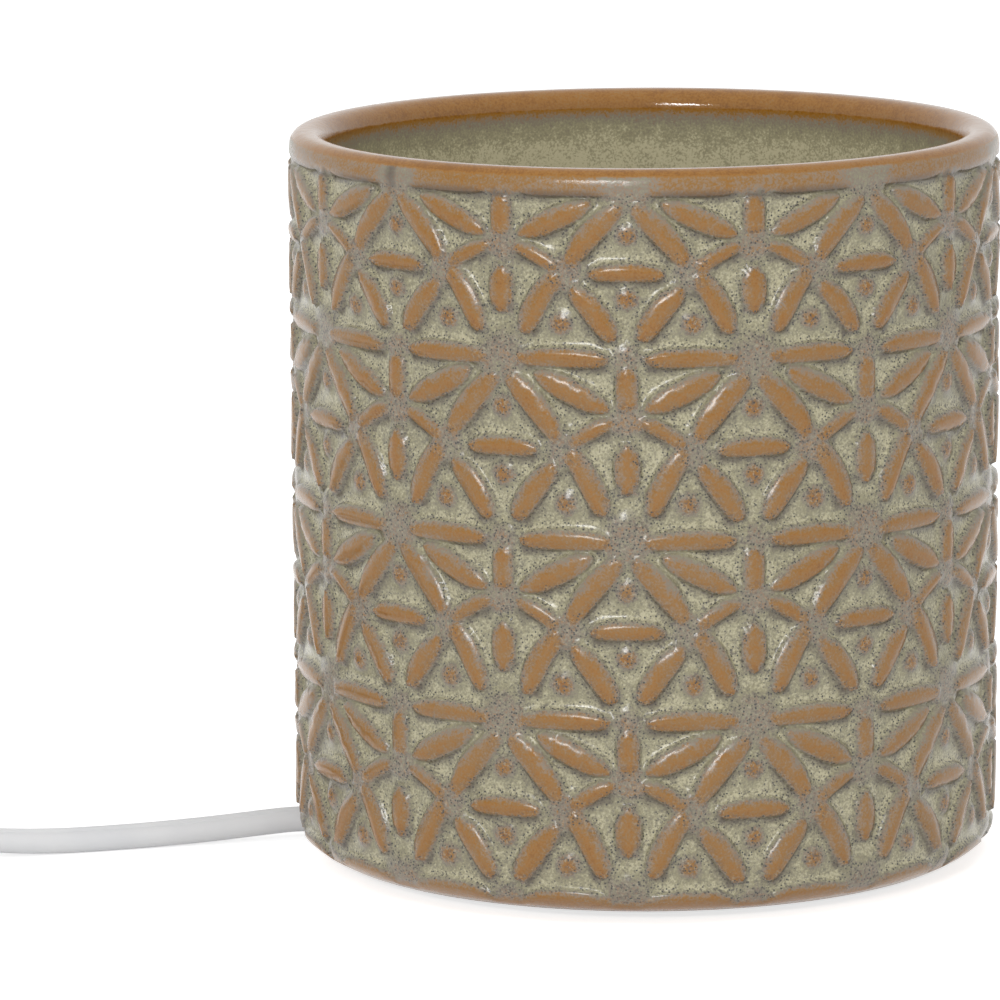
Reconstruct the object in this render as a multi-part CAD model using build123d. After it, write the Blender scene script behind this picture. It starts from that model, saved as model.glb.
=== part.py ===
from build123d import *
import math
import os

# Electric wax melt warmer: a glazed ceramic cylinder with a hot plate inside, a lift-out dish for
# the wax, and a flat twin cord with a rocker switch and a two-blade plug.
# Millimetres. Z is up, and the origin is on the body's axis at the table.

# Driving dimensions
body_diameter = 114.0
body_height = 117.0
wall = 6.0
table_gap = 1.5
ledge_height = 69.5

# Ceramic body
lip_outer_round = 2.2
lip_inner_round = 3.0
lip_outer_share = 0.36
lip_inner_share = 0.5
foot_round = 5.4
ledge_width = 8.0
ledge_thickness = 6.0
ledge_round = 1.0
shoulder_width = 5.5
shoulder_thickness = 7.0
foot_lip_width = 1.5
notch_width = 12.0
notch_height = 5.7
notch_round = 3.0
exit_angle = 175.0
lattice_turn = -92.7

# Star lattice pressed into the body's outside: its hollows lie between broad ribs
lattice_repeats = 9
lattice_rows = 4
lattice_start = 2.5
lattice_overrun = 0.5
lattice_ring_drop = 1.9
lattice_crown_share = 0.66
hollow_depth = 1.0
rib_half_width = 1.75

# Wax dish, which stands on the warming plate
dish_finger_room = 10.0
dish_height = 27.0
dish_wall = 4.0
dish_foot_share = 0.78
dish_foot_width = 5.0
dish_foot_height = 2.0
dish_rim_share = 0.42
dish_bowl_round = 9.0
dish_foot_round = 0.8

# Warming plate and what seats it
gasket_thickness = 1.5
gasket_width = 5.0
gasket_setback = 2.5
plate_thickness = 3.0
plate_side_clearance = 3.0
plate_edge_width = 3.0
plate_edge_drop = 1.5
skirt_clearance = 0.4
skirt_wall = 2.0
skirt_depth = 3.0
stud_inset = 9.0
stud_diameter = 4.0
stud_reach = 7.5
pillar_count = 4
first_pillar_angle = 45.0

# Heater stack under the plate
mica_thickness = 0.4
element_thickness = 1.0
element_clearance = 5.0
mica_overlap = 1.5
element_bore = 18.0
tab_angles = (120.0, 240.0)
tab_circle_share = 0.69
tab_width = 5.0
tab_thickness = 0.8
tab_drop = 6.4
tab_clearance = 0.6
clamp_thickness = 1.2
clamp_margin = 4.0
screw_clearance = 0.2

# Pillars, heat shield and base cover
pillar_across_flats = 7.0
pillar_bore_depth = 9.0
thread_clearance = 0.05
upper_pillar_length = 28.0
shield_thickness = 0.8
shield_side_clearance = 6.5
shield_rim_drop = 5.0
shield_bend = 1.4
lower_stud_reach = 7.2
cover_thickness = 2.5
cover_recess = 3.5
cover_side_clearance = 0.5
cover_edge_round = 0.6
base_screw_head_diameter = 7.0
base_screw_head_height = 1.6
base_screw_grip = 8.0
head_chamfer = 0.5
vent_count = 8
vent_circle_radius = 12.0
vent_diameter = 4.0

# Rubber feet
foot_diameter = 10.0
foot_inset = 7.0
first_foot_angle = 22.5
foot_count = 4
foot_edge_round = 0.8
foot_stem_diameter = 3.9
foot_stem_clearance = 0.05
foot_barb_diameter = 5.4
foot_barb_height = 1.6

# Cord, strain relief and the channel in the cover that holds them
cord_width = 6.8
cord_thickness = 3.4
groove_radius = 0.6
exit_height = 3.3
exit_lead = 3.0
table_clearance = 0.05
riser_radius = 25.0
lead_bend_radius = 7.5
lead_top_bend_radius = 6.0
relief_tip_setback = 2.5
relief_bore_clearance = 0.15
relief_tip_wall = 0.6
relief_root_wall = 1.7
relief_root_rise = 0.9
relief_neck_wall = 0.8
relief_flange_wall = 2.1
relief_flange_rise = 1.1
relief_flange_thickness = 1.3
channel_width = 12.0
channel_wall = 1.5
channel_roof_height = 7.5
channel_end_clearance = 0.7
rib_thickness = 1.6
rib_clearance = 0.1
riser_hole_clearance = 0.5

# Terminal block and wiring, on the cord's side of the base
block_length = 20.0
block_width = 26.0
block_height = 13.0
block_edge_round = 0.8
pole_spacing = 12.0
brass_length = 18.0
brass_diameter = 6.0
brass_bore = 3.2
brass_clearance = 0.05
clamp_screw_spacing = 11.0
clamp_screw_head_diameter = 3.8
clamp_screw_head_height = 1.6
clamp_screw_sink = 1.0
clamp_screw_diameter = 2.4
clamp_screw_tip_gap = 0.2
access_clearance = 0.2
block_screw_diameter = 3.0
block_screw_head_diameter = 5.2
block_screw_head_height = 2.0
block_screw_sink = 0.3
nut_across_flats = 5.5
nut_height = 2.4
thread_end = 0.6
wire_diameter = 2.2
core_spread_length = 8.0
core_lead_in = 2.0
core_slant = 4.4
core_bend_radius = 1.6
wire_end_gap = 2.0
wire_sides = 8
grommet_radius_out = 22.0
grommet_diameter = 11.0
grommet_hole = 8.4
grommet_lip = 1.2
grommet_lip_height = 1.2
wire_pair_spacing = 4.4
wire_bend_share = 0.143
wire_rise_share = 0.357
fuse_diameter = 4.0
fuse_length = 11.0
fuse_tab_clearance = 7.5
fuse_drop = 0.2
fuse_pin_diameter = 1.0
fuse_pin_reach = 3.0
clip_thickness = 0.6
clip_width = 5.0
clip_foot = 4.4
clip_clearance = 0.05
rivet_diameter = 2.0
rivet_head_diameter = 3.4
rivet_head_height = 0.6
rivet_top_gap = 0.2
live_loop_share = 0.286

# Rocker switch on the cord
switch_length = 56.0
switch_width = 20.0
switch_nose_width = 11.0
switch_nose_length = 8.0
switch_corner_round = 3.0
switch_parting_height = 4.0
switch_height = 14.0
switch_floor = 1.5
switch_roof = 1.8
switch_wall = 3.0
switch_cavity_length = 26.0
switch_top_round = 2.5
switch_bottom_chamfer = 1.0
socket_depth = 8.0
socket_lead = 6.5
socket_clearance = 0.15
rocker_radius = 7.6
rocker_gap = 0.4
rocker_width = 9.4
rocker_side_gap = 0.3
rocker_pivot_drop = 2.4
rocker_dip = 1.6
rocker_peak = 3.2
rocker_depth = 3.0
rocker_tilt = 8.0
trunnion_diameter = 2.5
trunnion_length = 1.3
trunnion_clearance = 0.05
cheek_length = 8.0
cheek_depth = 3.6
stem_length = 3.0
stem_width = 4.0
stem_drop = 3.6
bridge_length = 13.0
bridge_thickness = 0.5
contact_gap = 0.06
contact_thickness = 0.6
contact_reach = 5.2
contact_width = 4.0
contact_foot = 4.0
switch_screw_diameter = 2.4
switch_screw_head_diameter = 4.6
switch_screw_head_height = 1.6
switch_screw_sink = 0.4
switch_screw_grip = 4.0
switch_screw_setback = 3.5
switch_screw_from_side = 3.5

# Plug on the far end
plug_tail_length = 10.0
plug_tail_wall = 0.9
plug_tail_root_width = 13.0
plug_tail_root_height = 9.0
plug_body_length = 26.0
plug_width = 24.0
plug_waist_width = 19.0
plug_thickness = 14.0
plug_round = 2.4
plug_waist_share = 0.45
plug_shoulder_share = 0.2
blade_length = 16.0
blade_sunk = 6.0
blade_thickness = 1.5
blade_width = 6.35
wide_blade_width = 7.9
blade_spacing = 12.7
blade_tip_chamfer = 0.5
blade_tip_round = 1.4
blade_hole = 3.2
blade_hole_from_tip = 4.3

# Coil of the put-away length, its centre counted from the switch's near end
coil_clearance = 51.3
coil_centre_y = 29.0
coil_inner_radius = 28.2
coil_radial_pitch = 7.5
coil_layer_pitch = 3.9
quarters_per_layer = 9
climb_slope_share = 1.5
coil_end_x = -38.0
coil_end_y = -9.0
plug_rest_gap = 0.3
guide_offset = 20.0
gap_step = 3.0
gap_least_apart = 20.0

# The switch's near end, counted from the body's side, and its heading on the table
switch_clearance = 63.0
switch_y = -14.0
switch_heading = 203.0

# One overrun for every cut that passes right through, and the arcs of a cord's tube
overrun = 1.0
arc_share = 0.45

# Places worked out from the sizes above
body_radius = body_diameter / 2
well_radius = body_radius - wall
ledge_radius = well_radius - ledge_width
shoulder_radius = well_radius - shoulder_width
foot_bore_radius = well_radius - foot_lip_width
body_top = table_gap + body_height
cell_width = math.tau * body_radius / lattice_repeats
row_height = (body_height + lattice_overrun - lattice_start) / lattice_rows
lattice_top = body_height - lattice_ring_drop
cover_top = table_gap + cover_recess
cover_bottom = cover_top - cover_thickness
cover_radius = foot_bore_radius - cover_side_clearance
plate_underside = ledge_height + gasket_thickness
plate_top = plate_underside + plate_thickness
plate_radius = well_radius - plate_side_clearance
stud_circle_radius = ledge_radius - stud_inset
element_radius = stud_circle_radius - element_clearance
tab_circle_radius = element_radius * tab_circle_share
fuse_pins_start = tab_circle_radius * math.cos(math.radians(tab_angles[0])) + fuse_tab_clearance
fuse_offset_along = fuse_pins_start + fuse_pin_reach + fuse_length / 2
element_top = plate_underside - mica_thickness
element_bottom = element_top - element_thickness
clamp_top = element_bottom - mica_thickness
clamp_bottom = clamp_top - clamp_thickness
shield_top = clamp_bottom - upper_pillar_length
shield_height = shield_top - shield_thickness
relief_tip_radius = body_radius - relief_tip_setback
relief_root_radius = riser_radius + lead_bend_radius
rib_inner_radius = relief_root_radius + relief_flange_thickness + rib_clearance
wire_bend_radius = upper_pillar_length * wire_bend_share
wire_rise = upper_pillar_length * wire_rise_share
live_loop_reach = upper_pillar_length * live_loop_share
block_bottom = shield_height - block_height
pole_height = shield_height - block_height / 2
switch_x = -body_radius - switch_clearance
coil_centre_x = switch_x - coil_clearance
pivot_height = switch_height - rocker_pivot_drop
cord_lie_height = cord_thickness / 2 + table_clearance
pillar_angles = [first_pillar_angle + index * 360 / pillar_count for index in range(pillar_count)]
foot_angles = [first_foot_angle + index * 360 / foot_count for index in range(foot_count)]
cord_side = Rotation(0, 0, exit_angle)


def save(shape, name):
    """Writes one sub-part."""
    export_step(shape, "parts/" + name + ".step")


def turned(*points):
    """A solid of revolution about Z from an outline of (radius, height) points."""
    return revolve(make_face(Plane.XZ * Polyline(*points, close=True)), Axis.Z)


def disc(radius, low, high):
    """A round disc about Z between two heights."""
    return Pos(0, 0, low) * extrude(Circle(radius), high - low)


def ring(outer, inner, low, high):
    """A flat ring about Z between two heights."""
    return disc(outer, low, high) - disc(inner, low - overrun, high + overrun)


def around(radius, angles):
    """Places on a circle about Z."""
    return [Rotation(0, 0, angle) * Pos(radius, 0, 0) for angle in angles]


def corner_near(sketch, x, y):
    """The sketch's corner closest to a point."""
    return min(sketch.vertices(), key=lambda corner: math.hypot(corner.X - x, corner.Y - y))


def edges_at(shape, height):
    """The edges that lie flat at a height."""
    return shape.edges().filter_by_position(Axis.Z, height, height)


def facing_along(along, across, height):
    """The upright plane that faces along X, with its own X axis level."""
    return Plane(origin=(along, across, height), x_dir=(0, 1, 0), z_dir=(1, 0, 0))


def facing_across(half_width):
    """The upright plane that faces back across Y, for a profile that is drawn along X."""
    return Plane(origin=(0, half_width, 0), x_dir=(1, 0, 0), z_dir=(0, -1, 0))


def block_on(length, width, height):
    """A block about Z that stands on the level of its origin."""
    return Box(length, width, height, align=(Align.CENTER, Align.CENTER, Align.MIN))


def block_under(length, width, height):
    """A block about Z that hangs below the level of its origin."""
    return Box(length, width, height, align=(Align.CENTER, Align.CENTER, Align.MAX))


def block_outward(length, width, height):
    """A block that stands on the level of its origin and runs out along X."""
    return Box(length, width, height, align=(Align.MIN, Align.CENTER, Align.MIN))


def hexagon(across_flats, low, high):
    """A hexagon bar about Z between two heights."""
    outline = RegularPolygon(across_flats / 2, 6, major_radius=False)
    return Pos(0, 0, low) * extrude(outline, high - low)


# Ceramic body: slip-cast in one piece, with the ledge for the plate, the shoulder for the base
# cover and a notch in the foot for the cord.
def ceramic_body():
    lip_outer = min(lip_outer_round, wall * lip_outer_share)
    lip_inner = min(lip_inner_round, wall * lip_inner_share)
    shoulder_top = cover_top + shoulder_thickness
    outline = make_face(
        Polyline(
            (foot_bore_radius, table_gap),
            (body_radius, table_gap),
            (body_radius, body_top),
            (well_radius, body_top),
            (well_radius, ledge_height),
            (ledge_radius, ledge_height),
            (ledge_radius, ledge_height - ledge_thickness),
            (well_radius, ledge_height - ledge_thickness - ledge_width),
            (well_radius, shoulder_top + shoulder_width),
            (shoulder_radius, shoulder_top),
            (shoulder_radius, cover_top),
            (foot_bore_radius, cover_top),
            close=True,
        )
    )
    outline = fillet(corner_near(outline, body_radius, table_gap), foot_round)
    outline = fillet(corner_near(outline, body_radius, body_top), lip_outer)
    outline = fillet(corner_near(outline, well_radius, body_top), lip_inner)
    outline = fillet(corner_near(outline, ledge_radius, ledge_height), ledge_round)
    body = revolve(Plane.XZ * outline, Axis.Z)
    return body - lattice_hollows() - cord_side * cord_notch()


# The lattice repeats a triangle of stars, knots and clasps. Places are unrolled: across, up.
def lattice_triangles():
    """The corners of the ten triangles between the ribs, from one star to the next."""
    star, clasp, next_star = (0, 0), (cell_width / 2, 0), (cell_width, 0)
    knots = [(cell_width / 4, row_height / 2), (cell_width * 3 / 4, row_height / 2)]
    high_star, high_clasp = (cell_width / 2, row_height), (0, row_height)
    crown = (0, row_height * lattice_crown_share)
    triangles = [
        (star, clasp, knots[0]),
        (clasp, next_star, knots[1]),
        (clasp, knots[1], knots[0]),
        (knots[0], knots[1], high_star),
    ]
    for corners in ((high_clasp, high_star, crown), (crown, high_star, knots[0]), (crown, knots[0], star)):
        triangles.append(corners)
        triangles.append(tuple((-across, up) for across, up in reversed(corners)))
    return triangles


def hollow(corners, level):
    """One hollow: the triangle drawn in from its ribs' middles by half a rib, cut flat into the wall."""
    corners = [Vector(across, min(up + level, lattice_top)) for across, up in corners]
    sides = [(corners[index - 1] - corners[index - 2]).length for index in range(len(corners))]
    around_length = sum(sides)
    middle = Vector(0, 0)
    for corner, side in zip(corners, sides):
        middle += corner * (side / around_length)
    area = abs((corners[1] - corners[0]).cross(corners[2] - corners[0]).Z) / 2
    shrink = 1 - rib_half_width * around_length / (area * 2)
    outline = Polygon(*[(corner - middle) * shrink for corner in corners], align=None)
    turn = Rotation(0, 0, math.degrees(middle.X / body_radius) + lattice_turn)
    wall = facing_along(body_radius - hollow_depth, 0, table_gap + middle.Y)
    return turn * extrude(wall * outline, hollow_depth + overrun)


def lattice_hollows():
    hollows = []
    for row in range(lattice_rows):
        level = lattice_start + row_height * row
        cell = [hollow(corners, level) for corners in lattice_triangles()]
        stagger = 180 / lattice_repeats * (row % 2)
        for repeat in range(lattice_repeats):
            turn = Rotation(0, 0, stagger + repeat * 360 / lattice_repeats)
            hollows += [turn * piece for piece in cell]
    return hollows


def cord_notch():
    """The mouse-hole through the foot ring and the shoulder, seen along the cord's way out."""
    height = notch_height + overrun
    length = body_radius + overrun - (shoulder_radius - overrun)
    opening = Rectangle(notch_width, height, align=(Align.CENTER, Align.MAX))
    upper = opening.vertices().group_by(Axis.Y)[-1]
    opening = fillet(upper, notch_round)
    return extrude(facing_along(shoulder_radius - overrun, 0, table_gap + notch_height) * opening, length)


# Wax dish: a thrown bowl on a foot ring, which lifts out of the well.
def wax_dish():
    rim_radius = well_radius - dish_finger_room
    foot_radius = rim_radius * dish_foot_share
    floor_top = dish_foot_height + dish_wall
    rim_round = dish_wall * dish_rim_share
    outline = make_face(
        Polyline(
            (0, dish_foot_height),
            (foot_radius - dish_foot_width, dish_foot_height),
            (foot_radius - dish_foot_width, 0),
            (foot_radius, 0),
            (rim_radius, dish_height),
            (rim_radius - dish_wall, dish_height),
            (foot_radius - dish_wall, floor_top),
            (0, floor_top),
            close=True,
        )
    )
    outline = fillet(corner_near(outline, foot_radius - dish_wall, floor_top), dish_bowl_round)
    outline = fillet(corner_near(outline, foot_radius, 0), dish_foot_round)
    outline = fillet(corner_near(outline, rim_radius, dish_height), rim_round)
    outline = fillet(corner_near(outline, rim_radius - dish_wall, dish_height), rim_round)
    return Pos(0, 0, plate_top) * revolve(Plane.XZ * outline, Axis.Z)


# Warming plate: cast aluminium with a locating skirt and four studs.
def warming_plate():
    skirt_outer = ledge_radius - skirt_clearance
    skirt_inner = skirt_outer - skirt_wall
    plate = turned(
        (0, plate_underside),
        (skirt_inner, plate_underside),
        (skirt_inner, plate_underside - skirt_depth),
        (skirt_outer, plate_underside - skirt_depth),
        (skirt_outer, plate_underside),
        (plate_radius, plate_underside),
        (plate_radius, plate_top - plate_edge_drop),
        (plate_radius - plate_edge_width, plate_top),
        (0, plate_top),
    )
    stud = disc(stud_diameter / 2, clamp_bottom - stud_reach, plate_underside + plate_edge_drop)
    return plate + [place * stud for place in around(stud_circle_radius, pillar_angles)]


def plate_gasket():
    inner = ledge_radius + gasket_setback - skirt_wall
    return ring(inner + gasket_width, inner, ledge_height, plate_underside)


def stud_holes(low, high):
    """The clearance holes for the four studs through a plate."""
    hole = disc(stud_diameter / 2 + screw_clearance, low - overrun, high + overrun)
    return [place * hole for place in around(stud_circle_radius, pillar_angles)]


# Mica heater: a wound disc with two tabs, between two mica discs.
def tab_places():
    return [cord_side * place for place in around(tab_circle_radius, tab_angles)]


def tab_slots(low, high):
    slot = Box(tab_thickness + tab_clearance, tab_width + tab_clearance, high - low + overrun * 2)
    return [place * Pos(0, 0, (low + high) / 2) * slot for place in tab_places()]


def mica_disc(low, slotted):
    sheet = disc(element_radius + mica_overlap, low, low + mica_thickness)
    return sheet - tab_slots(low, low + mica_thickness) if slotted else sheet


def heating_element():
    winding = ring(element_radius, element_bore / 2, element_bottom, element_top)
    tab = block_under(tab_thickness, tab_width, tab_drop)
    return winding + [place * Pos(0, 0, element_bottom) * tab for place in tab_places()]


def clamp_plate():
    plate = disc(stud_circle_radius + clamp_margin, clamp_bottom, clamp_top)
    plate = plate - stud_holes(clamp_bottom, clamp_top) - tab_slots(clamp_bottom, clamp_top)
    return plate - [place * rivet_hole() for place in rivet_places()]


# Thermal fuse: held to the clamp plate by a riveted clip.
def fuse_place():
    tab_across = tab_circle_radius * math.sin(math.radians(tab_angles[0]))
    fuse_height = clamp_bottom - fuse_diameter / 2 - fuse_drop
    return cord_side * Pos(fuse_offset_along, tab_across, fuse_height)


def rivet_places():
    across = fuse_diameter / 2 + clip_clearance + clip_thickness + clip_foot / 2
    return [fuse_place() * Pos(0, side * across, 0) for side in (-1, 1)]


def rivet_hole():
    return disc(rivet_diameter / 2 + clip_clearance, 0, clamp_top - clamp_bottom + fuse_diameter * 2)


def thermal_fuse():
    case = Cylinder(fuse_diameter / 2, fuse_length, rotation=(0, 90, 0))
    pins = Cylinder(fuse_pin_diameter / 2, fuse_length + fuse_pin_reach * 2, rotation=(0, 90, 0))
    return fuse_place() * (case + pins)


def fuse_clip():
    inner = fuse_diameter / 2 + clip_clearance
    outer = inner + clip_thickness
    rise = fuse_diameter / 2 + fuse_drop
    strap = Circle(outer) + Pos(0, rise / 2) * Rectangle(outer * 2, rise)
    feet = Pos(0, rise - clip_thickness / 2) * Rectangle((outer + clip_foot) * 2, clip_thickness)
    gap = Circle(inner) + Pos(0, rise / 2) * Rectangle(inner * 2, rise)
    span = (outer + clip_foot) * 2
    outline = (strap + feet - gap) & Pos(0, rise - outer * 2) * Rectangle(span, outer * 4)
    clip = extrude(facing_along(-clip_width / 2, 0, 0) * outline, clip_width)
    hole_across = outer + clip_foot / 2
    return fuse_place() * (clip - [Pos(0, side * hole_across, 0) * rivet_hole() for side in (-1, 1)])


def fuse_rivets():
    foot_underside = fuse_diameter / 2 + fuse_drop - clip_thickness
    head = disc(rivet_head_diameter / 2, foot_underside - rivet_head_height, foot_underside)
    shank_top = fuse_diameter / 2 + fuse_drop + clamp_thickness - rivet_top_gap
    shank = disc(rivet_diameter / 2, foot_underside, shank_top)
    return Compound(children=[place * (head + shank) for place in rivet_places()])


# Pillars: hexagon bar, screwed to the plate's studs and to each other through the heat shield.
def upper_pillars():
    bore = stud_diameter / 2 + thread_clearance
    bar = hexagon(pillar_across_flats, shield_top, clamp_bottom)
    bar = bar - disc(bore, shield_top - overrun, shield_top + pillar_bore_depth)
    bar = bar - disc(bore, clamp_bottom - pillar_bore_depth, clamp_bottom + overrun)
    return Compound(children=[place * bar for place in around(stud_circle_radius, pillar_angles)])


def lower_pillars():
    bar = hexagon(pillar_across_flats, cover_top, shield_height)
    bore = stud_diameter / 2 + thread_clearance
    bar = bar - disc(bore, cover_top - overrun, cover_top + pillar_bore_depth)
    bar = bar + disc(stud_diameter / 2, shield_height - overrun, shield_top + lower_stud_reach)
    return Compound(children=[place * bar for place in around(stud_circle_radius, pillar_angles)])


def heat_shield():
    radius = well_radius - shield_side_clearance
    inner = radius - shield_thickness
    outline = make_face(
        Polyline(
            (0, shield_height),
            (inner, shield_height),
            (inner, shield_height - shield_rim_drop),
            (radius, shield_height - shield_rim_drop),
            (radius, shield_top),
            (0, shield_top),
            close=True,
        )
    )
    outline = chamfer(corner_near(outline, radius, shield_top), shield_bend)
    outline = chamfer(corner_near(outline, inner, shield_height), shield_bend - shield_thickness / 2)
    shield = revolve(Plane.XZ * outline, Axis.Z) - stud_holes(shield_height, shield_top)
    low, high = shield_height - overrun, shield_top + overrun
    shield = shield - grommet_place() * disc(grommet_hole / 2, low, high)
    return shield - disc(block_screw_diameter / 2 + screw_clearance, low, high)


# Base cover: moulded, seated under the ceramic's shoulder, with the cord's channel and the vents.
def base_cover():
    cover = disc(cover_radius, cover_bottom, cover_top)
    cover = chamfer(edges_at(cover, cover_bottom), cover_edge_round)
    inner = riser_radius - channel_wall - lead_bend_radius / 2
    outer = shoulder_radius - channel_end_clearance
    hump_width = channel_width + channel_wall * 2
    hump_height = channel_roof_height + channel_wall - cover_bottom
    hump = Pos(inner, 0, cover_bottom) * block_outward(outer - inner, hump_width, hump_height)
    hump = fillet(hump.edges().filter_by(Axis.Z).group_by(Axis.X)[0], channel_wall)
    cover = cover + cord_side * hump
    hollow = block_outward(cover_radius, channel_width, channel_roof_height)
    cover = cover - cord_side * Pos(inner + channel_wall, 0, 0) * hollow
    cover = cover + cord_side * relief_rib()
    cover = cover - cord_side * riser_hole()
    low, high = cover_bottom - overrun, cover_top + overrun
    cover = cover - stud_holes(cover_bottom, cover_top)
    stem = disc(foot_stem_diameter / 2 + foot_stem_clearance, low, high)
    cover = cover - [place * stem for place in around(cover_radius - foot_inset, foot_angles)]
    vent_angles = [index * 360 / vent_count for index in range(vent_count)]
    vent = disc(vent_diameter / 2, low, high)
    return cover - [place * vent for place in around(vent_circle_radius, vent_angles)]


def relief_rib():
    """The rib across the channel, with a slot for the strain relief's neck."""
    rib = block_outward(rib_thickness, channel_width, channel_roof_height - cover_bottom)
    neck_wall = relief_neck_wall + rib_clearance
    slot_start = rib_inner_radius - overrun
    slot_length = rib_thickness + overrun * 2
    slot_width = cord_width + (relief_bore_clearance + neck_wall) * 2
    slot = extrude(across_plane(slot_start) * relief_section(neck_wall, neck_wall), slot_length)
    slot = slot + Pos(slot_start, 0, 0) * block_outward(slot_length, slot_width, exit_height)
    return Pos(rib_inner_radius, 0, cover_bottom) * rib - slot


def riser_hole():
    """The slot in the channel's roof where the lead turns up."""
    reach = cord_thickness + riser_hole_clearance * 4
    across = cord_width + riser_hole_clearance * 2
    hole = block_on(reach, across, channel_wall + overrun * 2)
    return Pos(riser_radius + riser_hole_clearance, 0, channel_roof_height - overrun) * hole


def base_screws():
    radius = base_screw_head_diameter / 2
    head = disc(radius, cover_bottom - base_screw_head_height, cover_bottom)
    head = chamfer(edges_at(head, cover_bottom - base_screw_head_height), head_chamfer)
    screw = head + disc(stud_diameter / 2, cover_bottom, cover_top + base_screw_grip)
    return Compound(children=[place * screw for place in around(stud_circle_radius, pillar_angles)])


# Rubber feet: pushed through the cover and held by a barb.
def rubber_feet():
    stem = foot_stem_diameter / 2
    foot = turned(
        (0, 0),
        (foot_diameter / 2 - foot_edge_round, 0),
        (foot_diameter / 2, foot_edge_round),
        (foot_diameter / 2, cover_bottom),
        (stem, cover_bottom),
        (stem, cover_top),
        (foot_barb_diameter / 2, cover_top),
        (stem, cover_top + foot_barb_height),
        (0, cover_top + foot_barb_height),
    )
    return Compound(children=[place * foot for place in around(cover_radius - foot_inset, foot_angles)])


# Cord: flat, two insulated cores side by side with a groove between them.
def cord_section():
    """The cord's outline, width along X and thickness along Y, with each core as an octagon."""
    half_width = cord_width / 2
    half_thickness = cord_thickness / 2
    facet = half_thickness * math.tan(math.pi / 8)
    core_offset = half_width - half_thickness
    reach = half_thickness + groove_radius
    groove_floor = math.sqrt(reach**2 - core_offset**2) - groove_radius
    quarter = [
        (half_width, facet),
        (core_offset + facet, half_thickness),
        (core_offset - facet, half_thickness),
        (0, groove_floor),
    ]
    upper = quarter + [(-x, y) for x, y in reversed(quarter[:3])]
    lower = [(-x, -y) for x, y in upper]
    return make_face(Polyline(*upper, *lower, close=True))


def section_plane(start, heading):
    """The plane across a cord at its start, with the cord's width level."""
    level = Vector(heading.Y, -heading.X, 0)
    return Plane(origin=start, x_dir=level, z_dir=heading)


def tube(route, name, aside):
    """The cord's solid along a route, kept level by a guide beside it, with its volume compared."""
    section = cord_section()
    start = section_plane(route @ 0, route % 0)
    solid = sweep(start * section, path=route, binormal=route.moved(aside))
    expected = section.area * route.length
    print(name, "length", round(route.length, 1), "volume share", round(solid.volume / expected, 4))
    return solid


def arc_radii(points, name):
    """Each corner's arc, as large as its two runs allow."""
    radii = []
    for before, corner, after in zip(points, points[1:], points[2:]):
        run_in, run_out = corner - before, after - corner
        half_turn = math.radians(run_in.get_angle(run_out)) / 2
        radii.append(arc_share * min(run_in.length, run_out.length) / math.tan(half_turn))
    print(name, "arc radii", [round(radius, 1) for radius in radii])
    return radii


def free_route(points, name):
    points = [Vector(*point) for point in points]
    return Wire(FilletPolyline(*points, radius=arc_radii(points, name)).edges())


def across_plane(distance):
    """The upright plane across the cord's way out, at a distance from the body's axis."""
    return facing_along(distance, 0, exit_height)


def relief_section(side_wall, rise_wall):
    width = cord_width + (relief_bore_clearance + side_wall) * 2
    height = cord_thickness + (relief_bore_clearance + rise_wall) * 2
    return SlotOverall(width, height)


# Strain relief: a tapered rubber sleeve, held by the rib in the cover's channel.
def strain_relief():
    flange_outline = relief_section(relief_flange_wall, relief_flange_rise)
    flange = extrude(across_plane(relief_root_radius) * flange_outline, relief_flange_thickness)
    neck_start = relief_root_radius + relief_flange_thickness
    neck_length = rib_thickness + rib_clearance * 2
    neck_outline = relief_section(relief_neck_wall, relief_neck_wall)
    neck = extrude(across_plane(neck_start) * neck_outline, neck_length)
    taper_start = neck_start + neck_length
    taper = loft(
        [
            across_plane(taper_start) * relief_section(relief_root_wall, relief_root_rise),
            across_plane(relief_tip_radius) * relief_section(relief_tip_wall, relief_tip_wall),
        ]
    )
    bore = extrude(across_plane(relief_root_radius - overrun) * relief_section(0, 0), relief_tip_radius)
    return cord_side * (flange + neck + taper - bore)


# Wiring inside: the lead runs in the channel, turns up through the cover and ends at the block.
def inner_lead():
    lead_end = block_length / 2 + core_spread_length
    route = FilletPolyline(
        (relief_tip_radius, 0, exit_height),
        (riser_radius, 0, exit_height),
        (riser_radius, 0, pole_height),
        (lead_end, 0, pole_height),
        radius=[lead_bend_radius, lead_top_bend_radius],
    )
    return cord_side * tube(Wire(route.edges()), "inner lead", Pos(0, guide_offset, 0))


def wire(points, radius, diameter=wire_diameter):
    route = FilletPolyline(*points, radius=radius)
    start = Plane(origin=route @ 0, z_dir=route % 0)
    return cord_side * sweep(start * RegularPolygon(diameter / 2, wire_sides), path=route)


def core_tails():
    lead_end = block_length / 2 + core_spread_length
    slant_start = lead_end - core_lead_in
    tails = []
    for side in (-1, 1):
        near = side * cord_thickness / 2
        far = side * pole_spacing / 2
        tails.append(
            wire(
                [
                    (lead_end, near, pole_height),
                    (slant_start, near, pole_height),
                    (slant_start - core_slant, far, pole_height),
                    (wire_end_gap, far, pole_height),
                ],
                core_bend_radius,
            )
        )
    return Compound(children=tails)


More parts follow.
